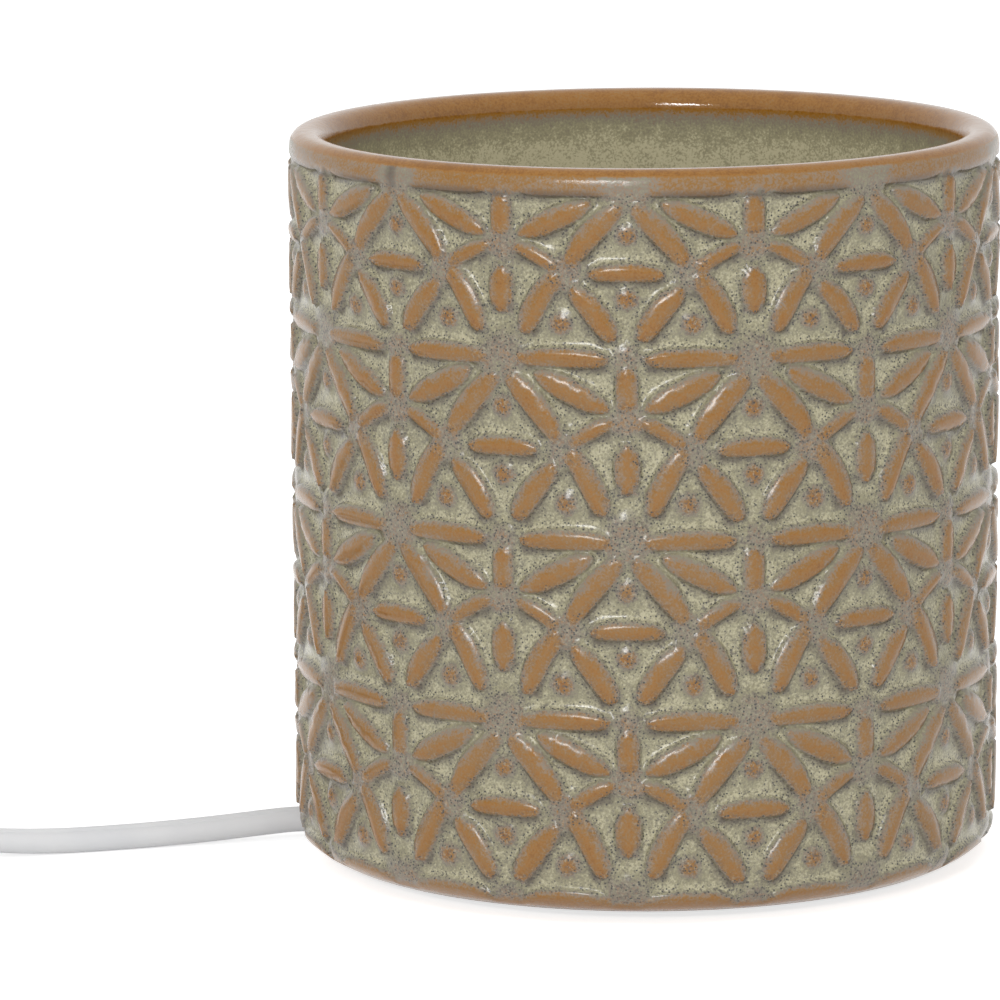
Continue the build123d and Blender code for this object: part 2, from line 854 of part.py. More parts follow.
def neutral_lead():
    tab_x = tab_circle_radius * math.cos(math.radians(tab_angles[1]))
    tab_y = tab_circle_radius * math.sin(math.radians(tab_angles[1]))
    tab_end = element_bottom - tab_drop
    pair = wire_pair_spacing / 2
    return wire(
        [
            (-wire_end_gap, -pole_spacing / 2, pole_height),
            (-grommet_radius_out + pair, -pole_spacing / 2, pole_height),
            (-grommet_radius_out, -pair, pole_height + wire_rise / 2),
            (-grommet_radius_out, -pair, shield_top + wire_rise),
            (tab_x, tab_y, tab_end - wire_rise),
            (tab_x, tab_y, tab_end),
        ],
        [wire_bend_radius / 2, wire_bend_radius / 2, wire_bend_radius, wire_bend_radius],
    )


def live_lead():
    fuse_y = tab_circle_radius * math.sin(math.radians(tab_angles[0]))
    fuse_height = clamp_bottom - fuse_diameter / 2 - fuse_drop
    pin_end = fuse_offset_along + fuse_length / 2 + fuse_pin_reach
    pair = wire_pair_spacing / 2
    return wire(
        [
            (-wire_end_gap, pole_spacing / 2, pole_height),
            (-grommet_radius_out + pair, pole_spacing / 2, pole_height),
            (-grommet_radius_out, pair, pole_height + wire_rise / 2),
            (-grommet_radius_out, pair, shield_top + wire_rise),
            (pin_end + live_loop_reach, fuse_y, shield_top + wire_rise + live_loop_reach),
            (pin_end + live_loop_reach, fuse_y, fuse_height),
            (pin_end, fuse_y, fuse_height),
        ],
        [wire_bend_radius / 2, wire_bend_radius / 2] + [wire_bend_radius] * 3,
    )


def fuse_lead():
    """From the heater's first tab to the fuse's near pin."""
    tab_x = tab_circle_radius * math.cos(math.radians(tab_angles[0]))
    fuse_y = tab_circle_radius * math.sin(math.radians(tab_angles[0]))
    fuse_height = clamp_bottom - fuse_diameter / 2 - fuse_drop
    tab_end = element_bottom - tab_drop
    pin_start = fuse_offset_along - fuse_length / 2 - fuse_pin_reach
    low = tab_end - wire_bend_radius
    return wire(
        [
            (tab_x, fuse_y, tab_end),
            (tab_x, fuse_y, low),
            (pin_start - wire_bend_radius, fuse_y, low),
            (pin_start - wire_diameter, fuse_y, fuse_height),
            (pin_start, fuse_y, fuse_height),
        ],
        wire_diameter / 2,
        fuse_pin_diameter * 2,
    )


def grommet_place():
    return cord_side * Pos(-grommet_radius_out, 0, 0)


def shield_grommet():
    groove = grommet_hole / 2
    lip = grommet_diameter / 2
    bore = wire_pair_spacing / 2 + wire_diameter / 2 + clip_clearance
    grommet = turned(
        (bore, shield_height - grommet_lip_height),
        (lip, shield_height - grommet_lip_height),
        (lip, shield_height),
        (groove, shield_height),
        (groove, shield_top),
        (lip, shield_top),
        (lip, shield_top + grommet_lip_height),
        (bore, shield_top + grommet_lip_height),
    )
    return grommet_place() * grommet


# Terminal block: glazed steatite with two brass ways, screwed under the heat shield.
def pole_start(along, side):
    return facing_along(along, side * pole_spacing / 2, pole_height)


def clamp_screw_places():
    half_along = clamp_screw_spacing / 2
    half_across = pole_spacing / 2
    return [Pos(x * half_along, y * half_across, 0) for x in (-1, 1) for y in (-1, 1)]


def terminal_block():
    block = Pos(0, 0, pole_height) * Box(block_length, block_width, block_height)
    block = fillet(block.edges().filter_by(Axis.Z), block_edge_round)
    way = brass_diameter / 2 + brass_clearance
    for side in (-1, 1):
        start = pole_start(-block_length / 2 - overrun, side)
        block = block - extrude(start * Circle(way), block_length + overrun * 2)
    access = disc(clamp_screw_head_diameter / 2 + access_clearance, block_bottom - overrun, pole_height)
    block = block - [place * access for place in clamp_screw_places()]
    shank = block_screw_diameter / 2 + access_clearance
    block = block - disc(shank, block_bottom - overrun, shield_height + overrun)
    sink = block_screw_head_diameter / 2 + access_clearance
    seat = block_bottom + block_screw_sink + block_screw_head_height
    block = block - disc(sink, block_bottom - overrun, seat)
    return cord_side * block


def terminal_brasses():
    tubes = []
    hole = disc(clamp_screw_diameter / 2 + brass_clearance, block_bottom, pole_height)
    for side in (-1, 1):
        outline = Circle(brass_diameter / 2) - Circle(brass_bore / 2)
        brass = extrude(pole_start(-brass_length / 2, side) * outline, brass_length)
        half_along = clamp_screw_spacing / 2
        holes = [Pos(x * half_along, side * pole_spacing / 2, 0) * hole for x in (-1, 1)]
        tubes.append(cord_side * (brass - holes))
    return Compound(children=tubes)


def terminal_screws():
    head_bottom = block_bottom + clamp_screw_sink
    head_top = head_bottom + clamp_screw_head_height
    tip = pole_height - wire_diameter / 2 - clamp_screw_tip_gap
    screw = disc(clamp_screw_head_diameter / 2, head_bottom, head_top)
    screw = screw + disc(clamp_screw_diameter / 2, head_top, tip)
    return Compound(children=[cord_side * place * screw for place in clamp_screw_places()])


def block_screw():
    seat = block_bottom + block_screw_sink + block_screw_head_height
    head = disc(block_screw_head_diameter / 2, seat - block_screw_head_height, seat)
    head = chamfer(edges_at(head, seat - block_screw_head_height), head_chamfer)
    return head + disc(block_screw_diameter / 2, seat, shield_top + nut_height + thread_end)


def block_nut():
    nut = hexagon(nut_across_flats, shield_top, shield_top + nut_height)
    bore = block_screw_diameter / 2 + thread_clearance
    return nut - disc(bore, shield_top - overrun, shield_top + nut_height + overrun)


# Rocker switch: two moulded shells on the cord, modelled along X from its near end.
def switch_place():
    return Pos(switch_x, switch_y, 0) * Rotation(0, 0, switch_heading)


def switch_outline(inset=0.0):
    half = switch_width / 2 - inset
    nose = switch_nose_width / 2 - inset
    shoulder = switch_nose_length
    outline = make_face(
        Polyline(
            (inset, nose),
            (shoulder, half),
            (switch_length - shoulder, half),
            (switch_length - inset, nose),
            (switch_length - inset, -nose),
            (switch_length - shoulder, -half),
            (shoulder, -half),
            (inset, -nose),
            close=True,
        )
    )
    return fillet(outline.vertices(), switch_corner_round)


def switch_cavity(low, high):
    width = switch_width - switch_wall * 2
    return Pos(switch_length / 2, 0, low) * block_on(switch_cavity_length, width, high - low)


def cord_sockets():
    """The blind sockets at both ends that hold the cord."""
    section = SlotOverall(cord_width + socket_clearance * 2, cord_thickness + socket_clearance * 2)
    starts = (-overrun, switch_length - socket_depth)
    planes = [facing_along(start, 0, switch_parting_height) for start in starts]
    return [extrude(plane * section, socket_depth + overrun) for plane in planes]


def switch_screw_places():
    from_end = socket_depth + switch_screw_setback
    from_middle = switch_width / 2 - switch_screw_from_side
    return [Pos(from_end, from_middle, 0), Pos(switch_length - from_end, -from_middle, 0)]


def switch_base():
    shell = extrude(switch_outline(), switch_parting_height)
    shell = chamfer(edges_at(shell, 0), switch_bottom_chamfer)
    shell = shell - switch_cavity(switch_floor, switch_parting_height + overrun) - cord_sockets()
    seat = switch_screw_sink + switch_screw_head_height
    hole = disc(switch_screw_diameter / 2 + thread_clearance, -overrun, switch_parting_height + overrun)
    hole = hole + disc(switch_screw_head_diameter / 2 + access_clearance, -overrun, seat)
    return switch_place() * (shell - [place * hole for place in switch_screw_places()])


def switch_cover():
    height = switch_height - switch_parting_height
    shell = Pos(0, 0, switch_parting_height) * extrude(switch_outline(), height)
    shell = fillet(edges_at(shell, switch_height), switch_top_round)
    roof_underside = switch_height - switch_roof
    window_half = rocker_width / 2 + rocker_side_gap
    cavity = switch_cavity(switch_parting_height - overrun, roof_underside)
    cavity = cavity - [cheek for cheek in trunnion_cheeks(window_half, roof_underside)]
    window = block_on((rocker_radius + rocker_gap) * 2, window_half * 2, switch_height)
    shell = shell - cavity - cord_sockets()
    shell = shell - Pos(switch_length / 2, 0, roof_underside - overrun) * window
    bearing = trunnion_diameter / 2 + trunnion_clearance
    bearings = Cylinder(bearing, (window_half + trunnion_length) * 2, rotation=(90, 0, 0))
    shell = shell - Pos(switch_length / 2, 0, pivot_height) * bearings
    thread_top = switch_parting_height + switch_screw_grip + thread_end
    thread = switch_screw_diameter / 2 + thread_clearance
    hole = disc(thread, switch_parting_height - overrun, thread_top)
    return switch_place() * (shell - [place * hole for place in switch_screw_places()])


def trunnion_cheeks(window_half, top):
    """Two blocks under the roof, one at each side of the rocker, that carry its trunnions."""
    width = switch_width / 2 - switch_wall - window_half + overrun
    cheek = Box(cheek_length, width, cheek_depth, align=(Align.CENTER, Align.MIN, Align.MAX))
    middle = Pos(switch_length / 2, 0, top)
    return [middle * Rotation(0, 0, turn) * Pos(0, window_half, 0) * cheek for turn in (0, 180)]


def rocker_place():
    """The pivot, with the rocker resting on its off side."""
    return switch_place() * Pos(switch_length / 2, 0, pivot_height) * Rotation(0, -rocker_tilt, 0)


def switch_rocker():
    top = [(-rocker_radius, rocker_peak), (0, rocker_dip), (rocker_radius, rocker_peak)]
    foot = [(rocker_radius, -rocker_depth), (-rocker_radius, -rocker_depth)]
    profile = make_face(Polyline(*top, *foot, close=True)) & Circle(rocker_radius)
    rocker = extrude(facing_across(rocker_width / 2) * profile, rocker_width)
    trunnion_span = rocker_width + trunnion_length * 2
    rocker = rocker + Cylinder(trunnion_diameter / 2, trunnion_span, rotation=(90, 0, 0))
    stem = block_under(stem_length, stem_width, stem_drop + overrun)
    return rocker_place() * (rocker + Pos(0, 0, overrun - rocker_depth) * stem)


def bridge_top():
    """How far the bridge's upper face lies under the pivot."""
    return rocker_depth + stem_drop


def contact_bridge():
    strip = block_under(bridge_length, stem_width, bridge_thickness)
    return rocker_place() * Pos(0, 0, -bridge_top()) * strip


def contact_strip(edge):
    """A leg with a foot on the floor. The bridge just clears its top at the edge's distance."""
    tilt = math.radians(rocker_tilt)
    bridge_depth = (bridge_top() + bridge_thickness + edge * math.sin(tilt)) / math.cos(tilt)
    profile = Polyline(
        (edge, pivot_height - bridge_depth - contact_gap),
        (edge, switch_floor + contact_thickness),
        (edge + contact_foot, switch_floor + contact_thickness),
        (edge + contact_foot, switch_floor),
        (edge - contact_thickness, switch_floor),
        (edge - contact_thickness, pivot_height - bridge_depth - contact_gap),
        close=True,
    )
    return extrude(facing_across(contact_width / 2) * make_face(profile), contact_width)


def switch_contacts():
    """The common strip under the bridge's middle, and the one that its far end comes down on."""
    middle = switch_place() * Pos(switch_length / 2, 0, 0)
    common = middle * Rotation(0, 0, 180) * contact_strip(contact_thickness / 2)
    return Compound(children=[common, middle * contact_strip(contact_reach)])


def switch_screws():
    seat = switch_screw_sink + switch_screw_head_height
    screw = disc(switch_screw_head_diameter / 2, switch_screw_sink, seat)
    screw = screw + disc(switch_screw_diameter / 2, seat, switch_parting_height + switch_screw_grip)
    return Compound(children=[switch_place() * place * screw for place in switch_screw_places()])


# Plug: moulded on the cord, modelled along X from its cord end, with two blades.
def plug_place():
    end = coil_end()
    return Pos(end.X, end.Y + cord_width, end.Z) * Rotation(0, 0, 90)


def coil_end():
    """Where the coil's last turn ends, at the height of the plug that lies on its upper layer."""
    upper_layer_top = cord_lie_height + coil_layer_pitch + cord_thickness / 2
    height = upper_layer_top + plug_rest_gap + plug_thickness / 2
    return Vector(coil_centre_x + coil_end_x, coil_centre_y + coil_end_y, height)


def blade(width, side):
    length = blade_length + blade_sunk
    flat = Rectangle(length, width, align=(Align.MIN, Align.CENTER))
    tip = flat.vertices().group_by(Axis.X)[-1]
    flat = fillet(tip, blade_tip_round)
    flat = flat - Pos(length - blade_hole_from_tip, 0) * Circle(blade_hole / 2)
    root = Pos(plug_tail_length + plug_body_length - blade_sunk, side * blade_spacing / 2, 0)
    return root * extrude(facing_across(blade_thickness / 2) * flat, blade_thickness)


def plug_blades():
    pair = [blade(blade_width, -1), blade(wide_blade_width, 1)]
    return Compound(children=[plug_place() * one for one in pair])


def plug_body():
    front = plug_tail_length + plug_body_length
    shoulder = plug_tail_length + plug_body_length * plug_shoulder_share
    waist = plug_tail_length + plug_body_length * plug_waist_share
    rear_half = plug_tail_root_width / 2
    side = [
        Line((plug_tail_length, rear_half), (shoulder, plug_waist_width / 2)),
        ThreePointArc(
            (shoulder, plug_waist_width / 2),
            ((waist + front) / 2, (plug_waist_width + plug_round) / 2),
            (front, plug_width / 2),
        ),
    ]
    edges = Curve() + side + mirror(Curve() + side, Plane.XZ)
    edges = edges + Line((front, plug_width / 2), (front, -plug_width / 2))
    edges = edges + Line((plug_tail_length, rear_half), (plug_tail_length, -rear_half))
    grip = Pos(0, 0, -plug_thickness / 2) * extrude(make_face(edges), plug_thickness)
    rims = edges_at(grip, plug_thickness / 2) + edges_at(grip, -plug_thickness / 2)
    grip = fillet(rims, plug_round)
    tip = SlotOverall(cord_width + plug_tail_wall * 2, cord_thickness + plug_tail_wall * 2)
    root = SlotOverall(plug_tail_root_width - plug_round, plug_tail_root_height)
    root_start = plug_tail_length + plug_round
    tail = loft([facing_along(0, 0, 0) * tip, facing_along(root_start, 0, 0) * root])
    body = grip + tail
    for width, side_sign in ((blade_width, -1), (wide_blade_width, 1)):
        body = body - blade(width, side_sign)
    return plug_place() * body


# Free cord: from the notch to the switch, and from the switch round to the coil.
def switch_point(along, height):
    heading = math.radians(switch_heading)
    return (switch_x + along * math.cos(heading), switch_y + along * math.sin(heading), height)


def exit_point(reach):
    """A place on the cord's straight way out, at a distance from the body's axis."""
    turn = math.radians(exit_angle)
    return (reach * math.cos(turn), reach * math.sin(turn), exit_height)


def table_point(out, across, height):
    """A place by the cord's side of the body, counted outwards from the wall."""
    return (-body_radius - out, across, height)


def power_cord():
    route = free_route(
        [
            exit_point(relief_tip_radius),
            exit_point(relief_tip_radius + exit_lead),
            table_point(5.8, 3.85, 2.95),
            table_point(15.0, 1.75, 2.25),
            table_point(27.5, -1.5, 1.8),
            table_point(42.5, -5.9, 1.9),
            switch_point(-socket_lead, switch_parting_height),
            switch_point(socket_depth, switch_parting_height),
        ],
        "power cord",
    )
    return tube(route, "power cord", Pos(0, 0, guide_offset))


def coil_start():
    outer = coil_inner_radius + coil_radial_pitch * quarters_per_layer / 4
    return Vector(coil_centre_x - outer, coil_centre_y - cord_width, cord_lie_height)


def cord_return():
    start = coil_start()
    route = free_route(
        [
            switch_point(switch_length - socket_depth, switch_parting_height),
            switch_point(switch_length + socket_lead, switch_parting_height),
            table_point(133.4, -38.5, 3.0),
            table_point(145.3, -33.7, 2.0),
            table_point(154.4, -24.6, 1.75),
            table_point(159.5, -12.5, 1.75),
            table_point(160.0, 0.5, 1.75),
            (start.X, 12.0, 1.75),
            (start.X, start.Y, start.Z),
        ],
        "cord return",
    )
    return tube(route, "cord return", Pos(0, 0, guide_offset))


# Coil: one unbroken tube, in on the lower layer, out on the upper, then up to the plug.
def coil_stations():
    """Places and headings every quarter turn, counted from where the spiral reverses."""
    places = []
    slope = coil_radial_pitch / (2 * math.pi)
    last = quarters_per_layer + 1
    for quarter in range(-quarters_per_layer, last + 1):
        turn = math.pi - (quarter + quarters_per_layer) * math.pi / 2
        outward = quarters_per_layer - abs(quarter - quarters_per_layer) if quarter > 0 else -quarter
        radius = coil_inner_radius + coil_radial_pitch * outward / 4
        growth = slope if 0 < quarter < quarters_per_layer else -slope
        if quarter in (0, quarters_per_layer):
            growth = 0
        layer = 0.5 * (quarter >= 0) + 0.5 * (quarter > 0)
        layer = layer + 0.5 * (quarter >= quarters_per_layer) + 0.5 * (quarter > quarters_per_layer)
        climbs = quarter in (0, quarters_per_layer)
        rise = climb_slope_share * coil_layer_pitch / math.pi * climbs
        place = Vector(radius * math.cos(turn), radius * math.sin(turn), layer * coil_layer_pitch)
        heading = Vector(
            growth * math.cos(turn) + radius * math.sin(turn),
            growth * math.sin(turn) - radius * math.cos(turn),
            rise,
        )
        if quarter == -quarters_per_layer:
            heading = Vector(0, 1, 0)
        places.append((place, heading.normalized()))
    return places


def biarc(start, start_heading, end, end_heading):
    """Two arcs that join two places smoothly at their headings."""
    chord = end - start
    square = 2 * (start_heading.dot(end_heading) - 1)
    linear = -2 * chord.dot(start_heading + end_heading)
    reach = (-linear - math.sqrt(linear**2 - 4 * square * chord.dot(chord))) / (2 * square)
    joint = (start + start_heading * reach + end - end_heading * reach) * 0.5
    joint_heading = (end - end_heading * reach - start - start_heading * reach).normalized()
    first = TangentArc(start, joint, tangent=start_heading)
    return [first, TangentArc(joint, end, tangent=joint_heading)]


def coil_route():
    origin = Vector(coil_centre_x, coil_centre_y, cord_lie_height)
    stations = [(origin + place, heading) for place, heading in coil_stations()]
    end = coil_end()
    stations.append((end, Vector(0, 1, 0)))
    lead_in = Line(stations[0][0] - stations[0][1] * cord_width, stations[0][0])
    edges = [lead_in.edge()]
    for (start, start_heading), (stop, stop_heading) in zip(stations, stations[1:]):
        edges += [arc.edge() for arc in biarc(start, start_heading, stop, stop_heading)]
    edges.append(Line(end, end + stations[-1][1] * cord_width).edge())
    return Wire(edges)


def least_gap(route):
    """The least clearance between turns, from points along the route and the flat section."""
    count = int(route.length / gap_step)
    points = [route @ (index / count) for index in range(count + 1)]
    apart = int(gap_least_apart / gap_step)
    least = route.length
    for index, first in enumerate(points):
        for second in points[index + apart:]:
            level = math.hypot(second.X - first.X, second.Y - first.Y)
            beside = max(level - (cord_width - cord_thickness), 0)
            least = min(least, math.hypot(beside, second.Z - first.Z) - cord_thickness)
    return least


def cord_coil():
    route = coil_route()
    print("coil's least gap to itself", round(least_gap(route), 2))
    return tube(route, "coil", Pos(0, 0, guide_offset))


os.makedirs("parts", exist_ok=True)
save(ceramic_body(), "ceramic_body")
save(wax_dish(), "wax_dish")
save(warming_plate(), "warming_plate")
save(plate_gasket(), "plate_gasket")
save(mica_disc(element_top, False), "mica_upper")
save(heating_element(), "heating_element")
save(mica_disc(clamp_top, True), "mica_lower")
save(clamp_plate(), "clamp_plate")
save(thermal_fuse(), "thermal_fuse")
save(fuse_clip(), "fuse_clip")
save(fuse_rivets(), "fuse_rivets")
save(upper_pillars(), "upper_pillars")
save(heat_shield(), "heat_shield")
save(shield_grommet(), "shield_grommet")
save(lower_pillars(), "lower_pillars")
save(base_cover(), "base_cover")
save(base_screws(), "base_screws")
save(rubber_feet(), "rubber_feet")
save(strain_relief(), "strain_relief")
save(inner_lead(), "inner_lead")
save(core_tails(), "core_tails")
save(neutral_lead(), "neutral_lead")
save(live_lead(), "live_lead")
save(fuse_lead(), "fuse_lead")
save(terminal_block(), "terminal_block")
save(terminal_brasses(), "terminal_brasses")
save(terminal_screws(), "terminal_screws")
save(block_screw(), "block_screw")
save(block_nut(), "block_nut")
save(power_cord(), "power_cord")
save(switch_base(), "switch_base")
save(switch_cover(), "switch_cover")
save(switch_rocker(), "switch_rocker")
save(contact_bridge(), "contact_bridge")
save(switch_contacts(), "switch_contacts")
save(switch_screws(), "switch_screws")
save(cord_return(), "cord_return")
save(cord_coil(), "cord_coil")
save(plug_body(), "plug_body")
save(plug_blades(), "plug_blades")
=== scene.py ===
import math

import bmesh
import bpy
import numpy as np
from mathutils import Matrix, Vector, noise
from mathutils.geometry import delaunay_2d_cdt


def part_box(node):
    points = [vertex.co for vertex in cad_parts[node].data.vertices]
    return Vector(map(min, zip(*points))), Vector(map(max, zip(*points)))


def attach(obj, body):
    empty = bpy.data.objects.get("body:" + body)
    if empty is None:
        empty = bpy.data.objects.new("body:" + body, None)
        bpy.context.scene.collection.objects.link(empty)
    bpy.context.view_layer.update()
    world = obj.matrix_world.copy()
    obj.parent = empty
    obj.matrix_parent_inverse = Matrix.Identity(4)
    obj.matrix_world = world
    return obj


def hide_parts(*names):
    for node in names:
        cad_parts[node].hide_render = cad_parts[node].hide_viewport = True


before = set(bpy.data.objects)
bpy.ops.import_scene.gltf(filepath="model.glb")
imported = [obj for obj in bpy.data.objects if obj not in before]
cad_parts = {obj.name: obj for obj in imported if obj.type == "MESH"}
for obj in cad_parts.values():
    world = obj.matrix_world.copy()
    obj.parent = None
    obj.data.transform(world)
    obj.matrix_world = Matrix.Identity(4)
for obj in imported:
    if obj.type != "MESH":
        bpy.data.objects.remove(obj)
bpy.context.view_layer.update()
bpy.ops.object.select_all(action="DESELECT")


# Camera: a long lens about a metre away, ten degrees above level, as a shop picture
# of a small pot is taken. The cord leaves its frame at the left.
camera_sensor, camera_lens = 36.0, 227.99
camera_heading, camera_dip, camera_lean = 0.0232, 0.1781, -0.0071
camera_place = (0.0, -1.01323, 0.23991)


def set_in_scene(name, data):
    """A new object for the data, in the scene."""
    piece = bpy.data.objects.new(name, data)
    bpy.context.scene.collection.objects.link(piece)
    return piece


camera_data = bpy.data.cameras.new("camera")
camera_data.sensor_width, camera_data.lens = camera_sensor, camera_lens
camera = set_in_scene("camera", camera_data)
camera_turn = Matrix.Rotation(camera_heading, 3, "Z")
camera_turn = camera_turn @ Matrix.Rotation(math.pi / 2 - camera_dip, 3, "X")
camera_turn = camera_turn @ Matrix.Rotation(camera_lean, 3, "Z")
camera.rotation_euler = camera_turn.to_euler()
camera.location = camera_place
bpy.context.scene.camera = camera


# Ceramic body: slip-cast stoneware, its star lattice pressed in the mould nine times round,
# under one reactive glaze that runs thin and amber off the edges and pools green in the hollows.
body_radius = 0.057
body_height = 0.117
wall = 0.006
body_foot = 0.0015
well_radius = body_radius - wall
ledge_height = 0.0695
ledge_width = 0.008
ledge_radius = well_radius - ledge_width
ledge_thickness = 0.006
ledge_round = 0.001
cover_top = 0.005
shoulder_width = 0.0055
shoulder_height = 0.007
shoulder_radius = well_radius - shoulder_width
shoulder_top = cover_top + shoulder_height
foot_bore_step = 0.0015
foot_bore_radius = well_radius - foot_bore_step
lip_radius = 0.00216
lip_inner_radius = 0.003
lip_leans = (0, 12, 25, 38, 52, 66, 80, 90)
lip_inner_leans = range(90, 181, 15)
foot_radius = 0.0057
foot_leans = (-70, -50)
repeats = 9
cell_width = math.tau * body_radius / repeats
row_height = 0.02875
row_count = 4
row_levels = (0.0025, 0.03125, 0.0596, 0.08805, 0.1143)
lattice_turn = math.radians(-2.7)
half_width = cell_width / 2
star = Vector((0.0, 0.0))
high_star = Vector((half_width, row_height))
knot = Vector((half_width / 2, row_height / 2))
crown = Vector((0.0, 0.0190))
# Where the ribs of half a cell start and end, how far they swell to the left and the right of
# that line, and how square each side is.
LENS, BAR = (2.6, 0.55), (4.8, 0.34)
ribs = [
    (Vector((0.0027, 0.0)), Vector((0.0172, 0.0)), 0.00188, LENS, 0.00171, BAR),
    (Vector((0.0027, row_height)), Vector((0.0172, row_height)), 0.00188, LENS, 0.00171, BAR),
    (Vector((0.0139, 0.0144)), Vector((0.0259, 0.0144)), 0.00188, LENS, 0.00160, BAR),
    (Vector((0.0033, 0.0040)), Vector((0.0087, 0.0143)), 0.00228, LENS, 0.00188, BAR),
    (Vector((0.0105, 0.0162)), Vector((0.0187, 0.0259)), 0.00234, LENS, 0.00194, BAR),
    (Vector((0.0182, 0.0031)), Vector((0.0115, 0.0121)), 0.00199, BAR, 0.00222, LENS),
    (Vector((0.0, 0.0271)), Vector((0.0, 0.0207)), 0.00194, BAR, 0.00194, BAR),
    (Vector((0.0, 0.0155)), Vector((0.0, 0.0072)), 0.00222, LENS, 0.00222, LENS),
    (Vector((0.0026, 0.0205)), Vector((0.0147, 0.0263)), 0.00211, LENS, 0.00211, LENS),
    (Vector((0.0024, 0.0190)), Vector((0.0091, 0.0152)), 0.00160, LENS, 0.00137, BAR),
]
# The hubs where ribs meet: place, level inner radius, and where the hollow begins.
hubs = [
    (star, 0.0026, 0.0058), (high_star, 0.0026, 0.0058), (knot, 0.0019, 0.0041), (crown, 0.0018, 0.0038),
    (Vector((half_width, 0.0)), 0.0013, 0.0034), (Vector((0.0, row_height)), 0.0013, 0.0034),
]
dots = [Vector((0.0096, 0.0058)), Vector((half_width, 0.0101)), Vector((half_width, 0.0209))]
dot_radius = 0.0021
dot_height = 0.00075
dot_dip = 0.4
hollow_level = -0.0009
hub_level = -0.00022
rib_level = 0.0003
rib_foot = -0.00045
rib_shoulder = 0.00070
crown_width = 0.0019
crown_share = 0.2
ring_low = 0.1133
ring_lead, ring_tail = 0.0005, 0.0006
ring_height = 0.0001
wobble_depth, wobble_pitch, wobble_stretch = 0.00008, 5, 17
# The glaze, from 0 where it is thinnest to about 1 where it pools, and what thins it.
lip_amber_lean = math.radians(30)
lip_glaze = 0.08
ring_glaze = 0.29
haze_glaze = 0.52
haze_reach = (0.0025, 0.0065)
well_glazes = ((0.1150, 0.22), (0.1140, 0.48), (0.1125, 0.72), (0.1090, 0.94), (0.1000, 1.06), (0.0850, 1.06))
ledge_glaze, ledge_edge_glaze = 0.8, 0.5
clay_glaze = 0.3
foot_glaze, foot_bareness = 0.14, 0.6
glaze_even = 0.50
edge_thinning = 0.9
proud_thinning = 0.35
drip_thinning = 0.22
level_thinning = 0.42
dot_thinning = 0.36
dot_amber_radius = 0.00135
# How far the relief is softened to find its edges, ribs, pools and slopes.
edge_blur, slope_blur, rib_blur = 0.00022, 0.0006, 0.0007
shelf_blur, pool_blur, wide_blur = 0.0009, 0.00105, 0.0018
to_mm = 1000
# Depths in millimetres and slopes between which the specks and the dark foot lines come and go; the foot lines are
# partly the glaze's dark outline and partly painted shade under the ribs.
speckled_depths = (0.55, 0.95)
shelf_slopes = (0.12, 0.45)
margin_depths, pool_depths = (0.05, 0.35), (0.45, 0.8)
outline_and_shade_slopes = (0.24, 0.52)
downhill_share, any_slope_share = 0.7, 0.4
outline_and_shade_depths, outline_and_shade_end_depths = (0.42, 0.74), (0.80, 0.893)
least_specks, margin_specks, hub_specks = 0.42, 0.85, 0.62
hub_specks_reach = 1.2
# The dark line just under the ring's lower edge: partly the glaze's dark outline, partly painted shade.
under_ring_rise, under_ring_fall = (-0.0011, -0.0004), (-0.0002, 0.0002)
under_ring_outline_and_shade = 0.7
drip_turn = math.radians(-43.4)
drip_low, drip_fade = 0.1118, 0.0012
drip_width, drip_line = (0.0004, 0.0013), 0.75
# The mesh of half a cell: loops along the ribs' edges, rings round the dots, a grid between.
loop_spacing = 0.0008
loop_stretch = 1.15
fewest_loop_steps = 4
loop_insets = (-0.00038, -0.00012, 0.00012, 0.00045)
loop_gap, dot_gap, rib_gap, field_gap = 0.00021, 0.0003, 0.0005, 0.0006
dot_rings = ((0.6, 7), (1.15, 12))
field_spacing = 0.0012
border_count = 27
merge_distance, weld_distance = 1e-7, 0.00002
map_step = 0.0002
per_micron = 1e6


def smooth(value, low, high):
    """0 below the low value, 1 above the high one, and a soft step between."""
    share = np.clip((value - low) / (high - low), 0, 1)
    return share * share * (3 - 2 * share)


def swell(share, reach, shape):
    """The half width of a rib's side at a share of its length."""
    power, roundness = shape
    return reach * (1 - abs(share * 2 - 1) ** power) ** roundness


def rib_inset(rib, u, v):
    """How far a place lies inside a rib's edge, below zero outside it."""
    start, end, left, left_shape, right, right_shape = rib
    run = end - start
    length = run.length
    along = ((u - start.x) * run.x + (v - start.y) * run.y) / length
    beside = ((v - start.y) * run.x - (u - start.x) * run.y) / length
    share = np.clip(along / length, 0, 1)
    reach = np.where(beside > 0, swell(share, left, left_shape), swell(share, right, right_shape))
    beyond = np.maximum(np.maximum(-along, along - length), 0)
    return reach - np.hypot(beside, beyond)


def relief(u, v):
    """The lattice's height over the wall, at places in half a cell."""
    ground = np.full(np.shape(u), hollow_level)
    for place, inner, outer in hubs:
        apart = np.hypot(u - place.x, v - place.y)
        rise = (hub_level - hollow_level) * (1 - smooth(apart, inner, outer))
        ground = np.maximum(ground, hollow_level + rise)
    for place in dots:
        apart = np.hypot(u - place.x, v - place.y)
        dome = np.exp(-((apart / dot_radius) ** 4))
        ground = ground + dot_height * dome * (1 - smooth(apart, 0, dot_radius * 2) * dot_dip)
    height = ground
    for rib in ribs:
        inset = rib_inset(rib, u, v)
        side = smooth(inset, rib_foot, rib_shoulder) * (1 - crown_share)
        top = crown_share * (1 - (1 - np.clip(inset / crown_width, 0, 1)) ** 2)
        height = np.maximum(height, ground + (rib_level - ground) * (side + top))
    return height


def star_distance(place):
    """How far a place in half a cell is from the nearer of its two twelve-armed stars."""
    return min((place - star).length, (place - high_star).length)


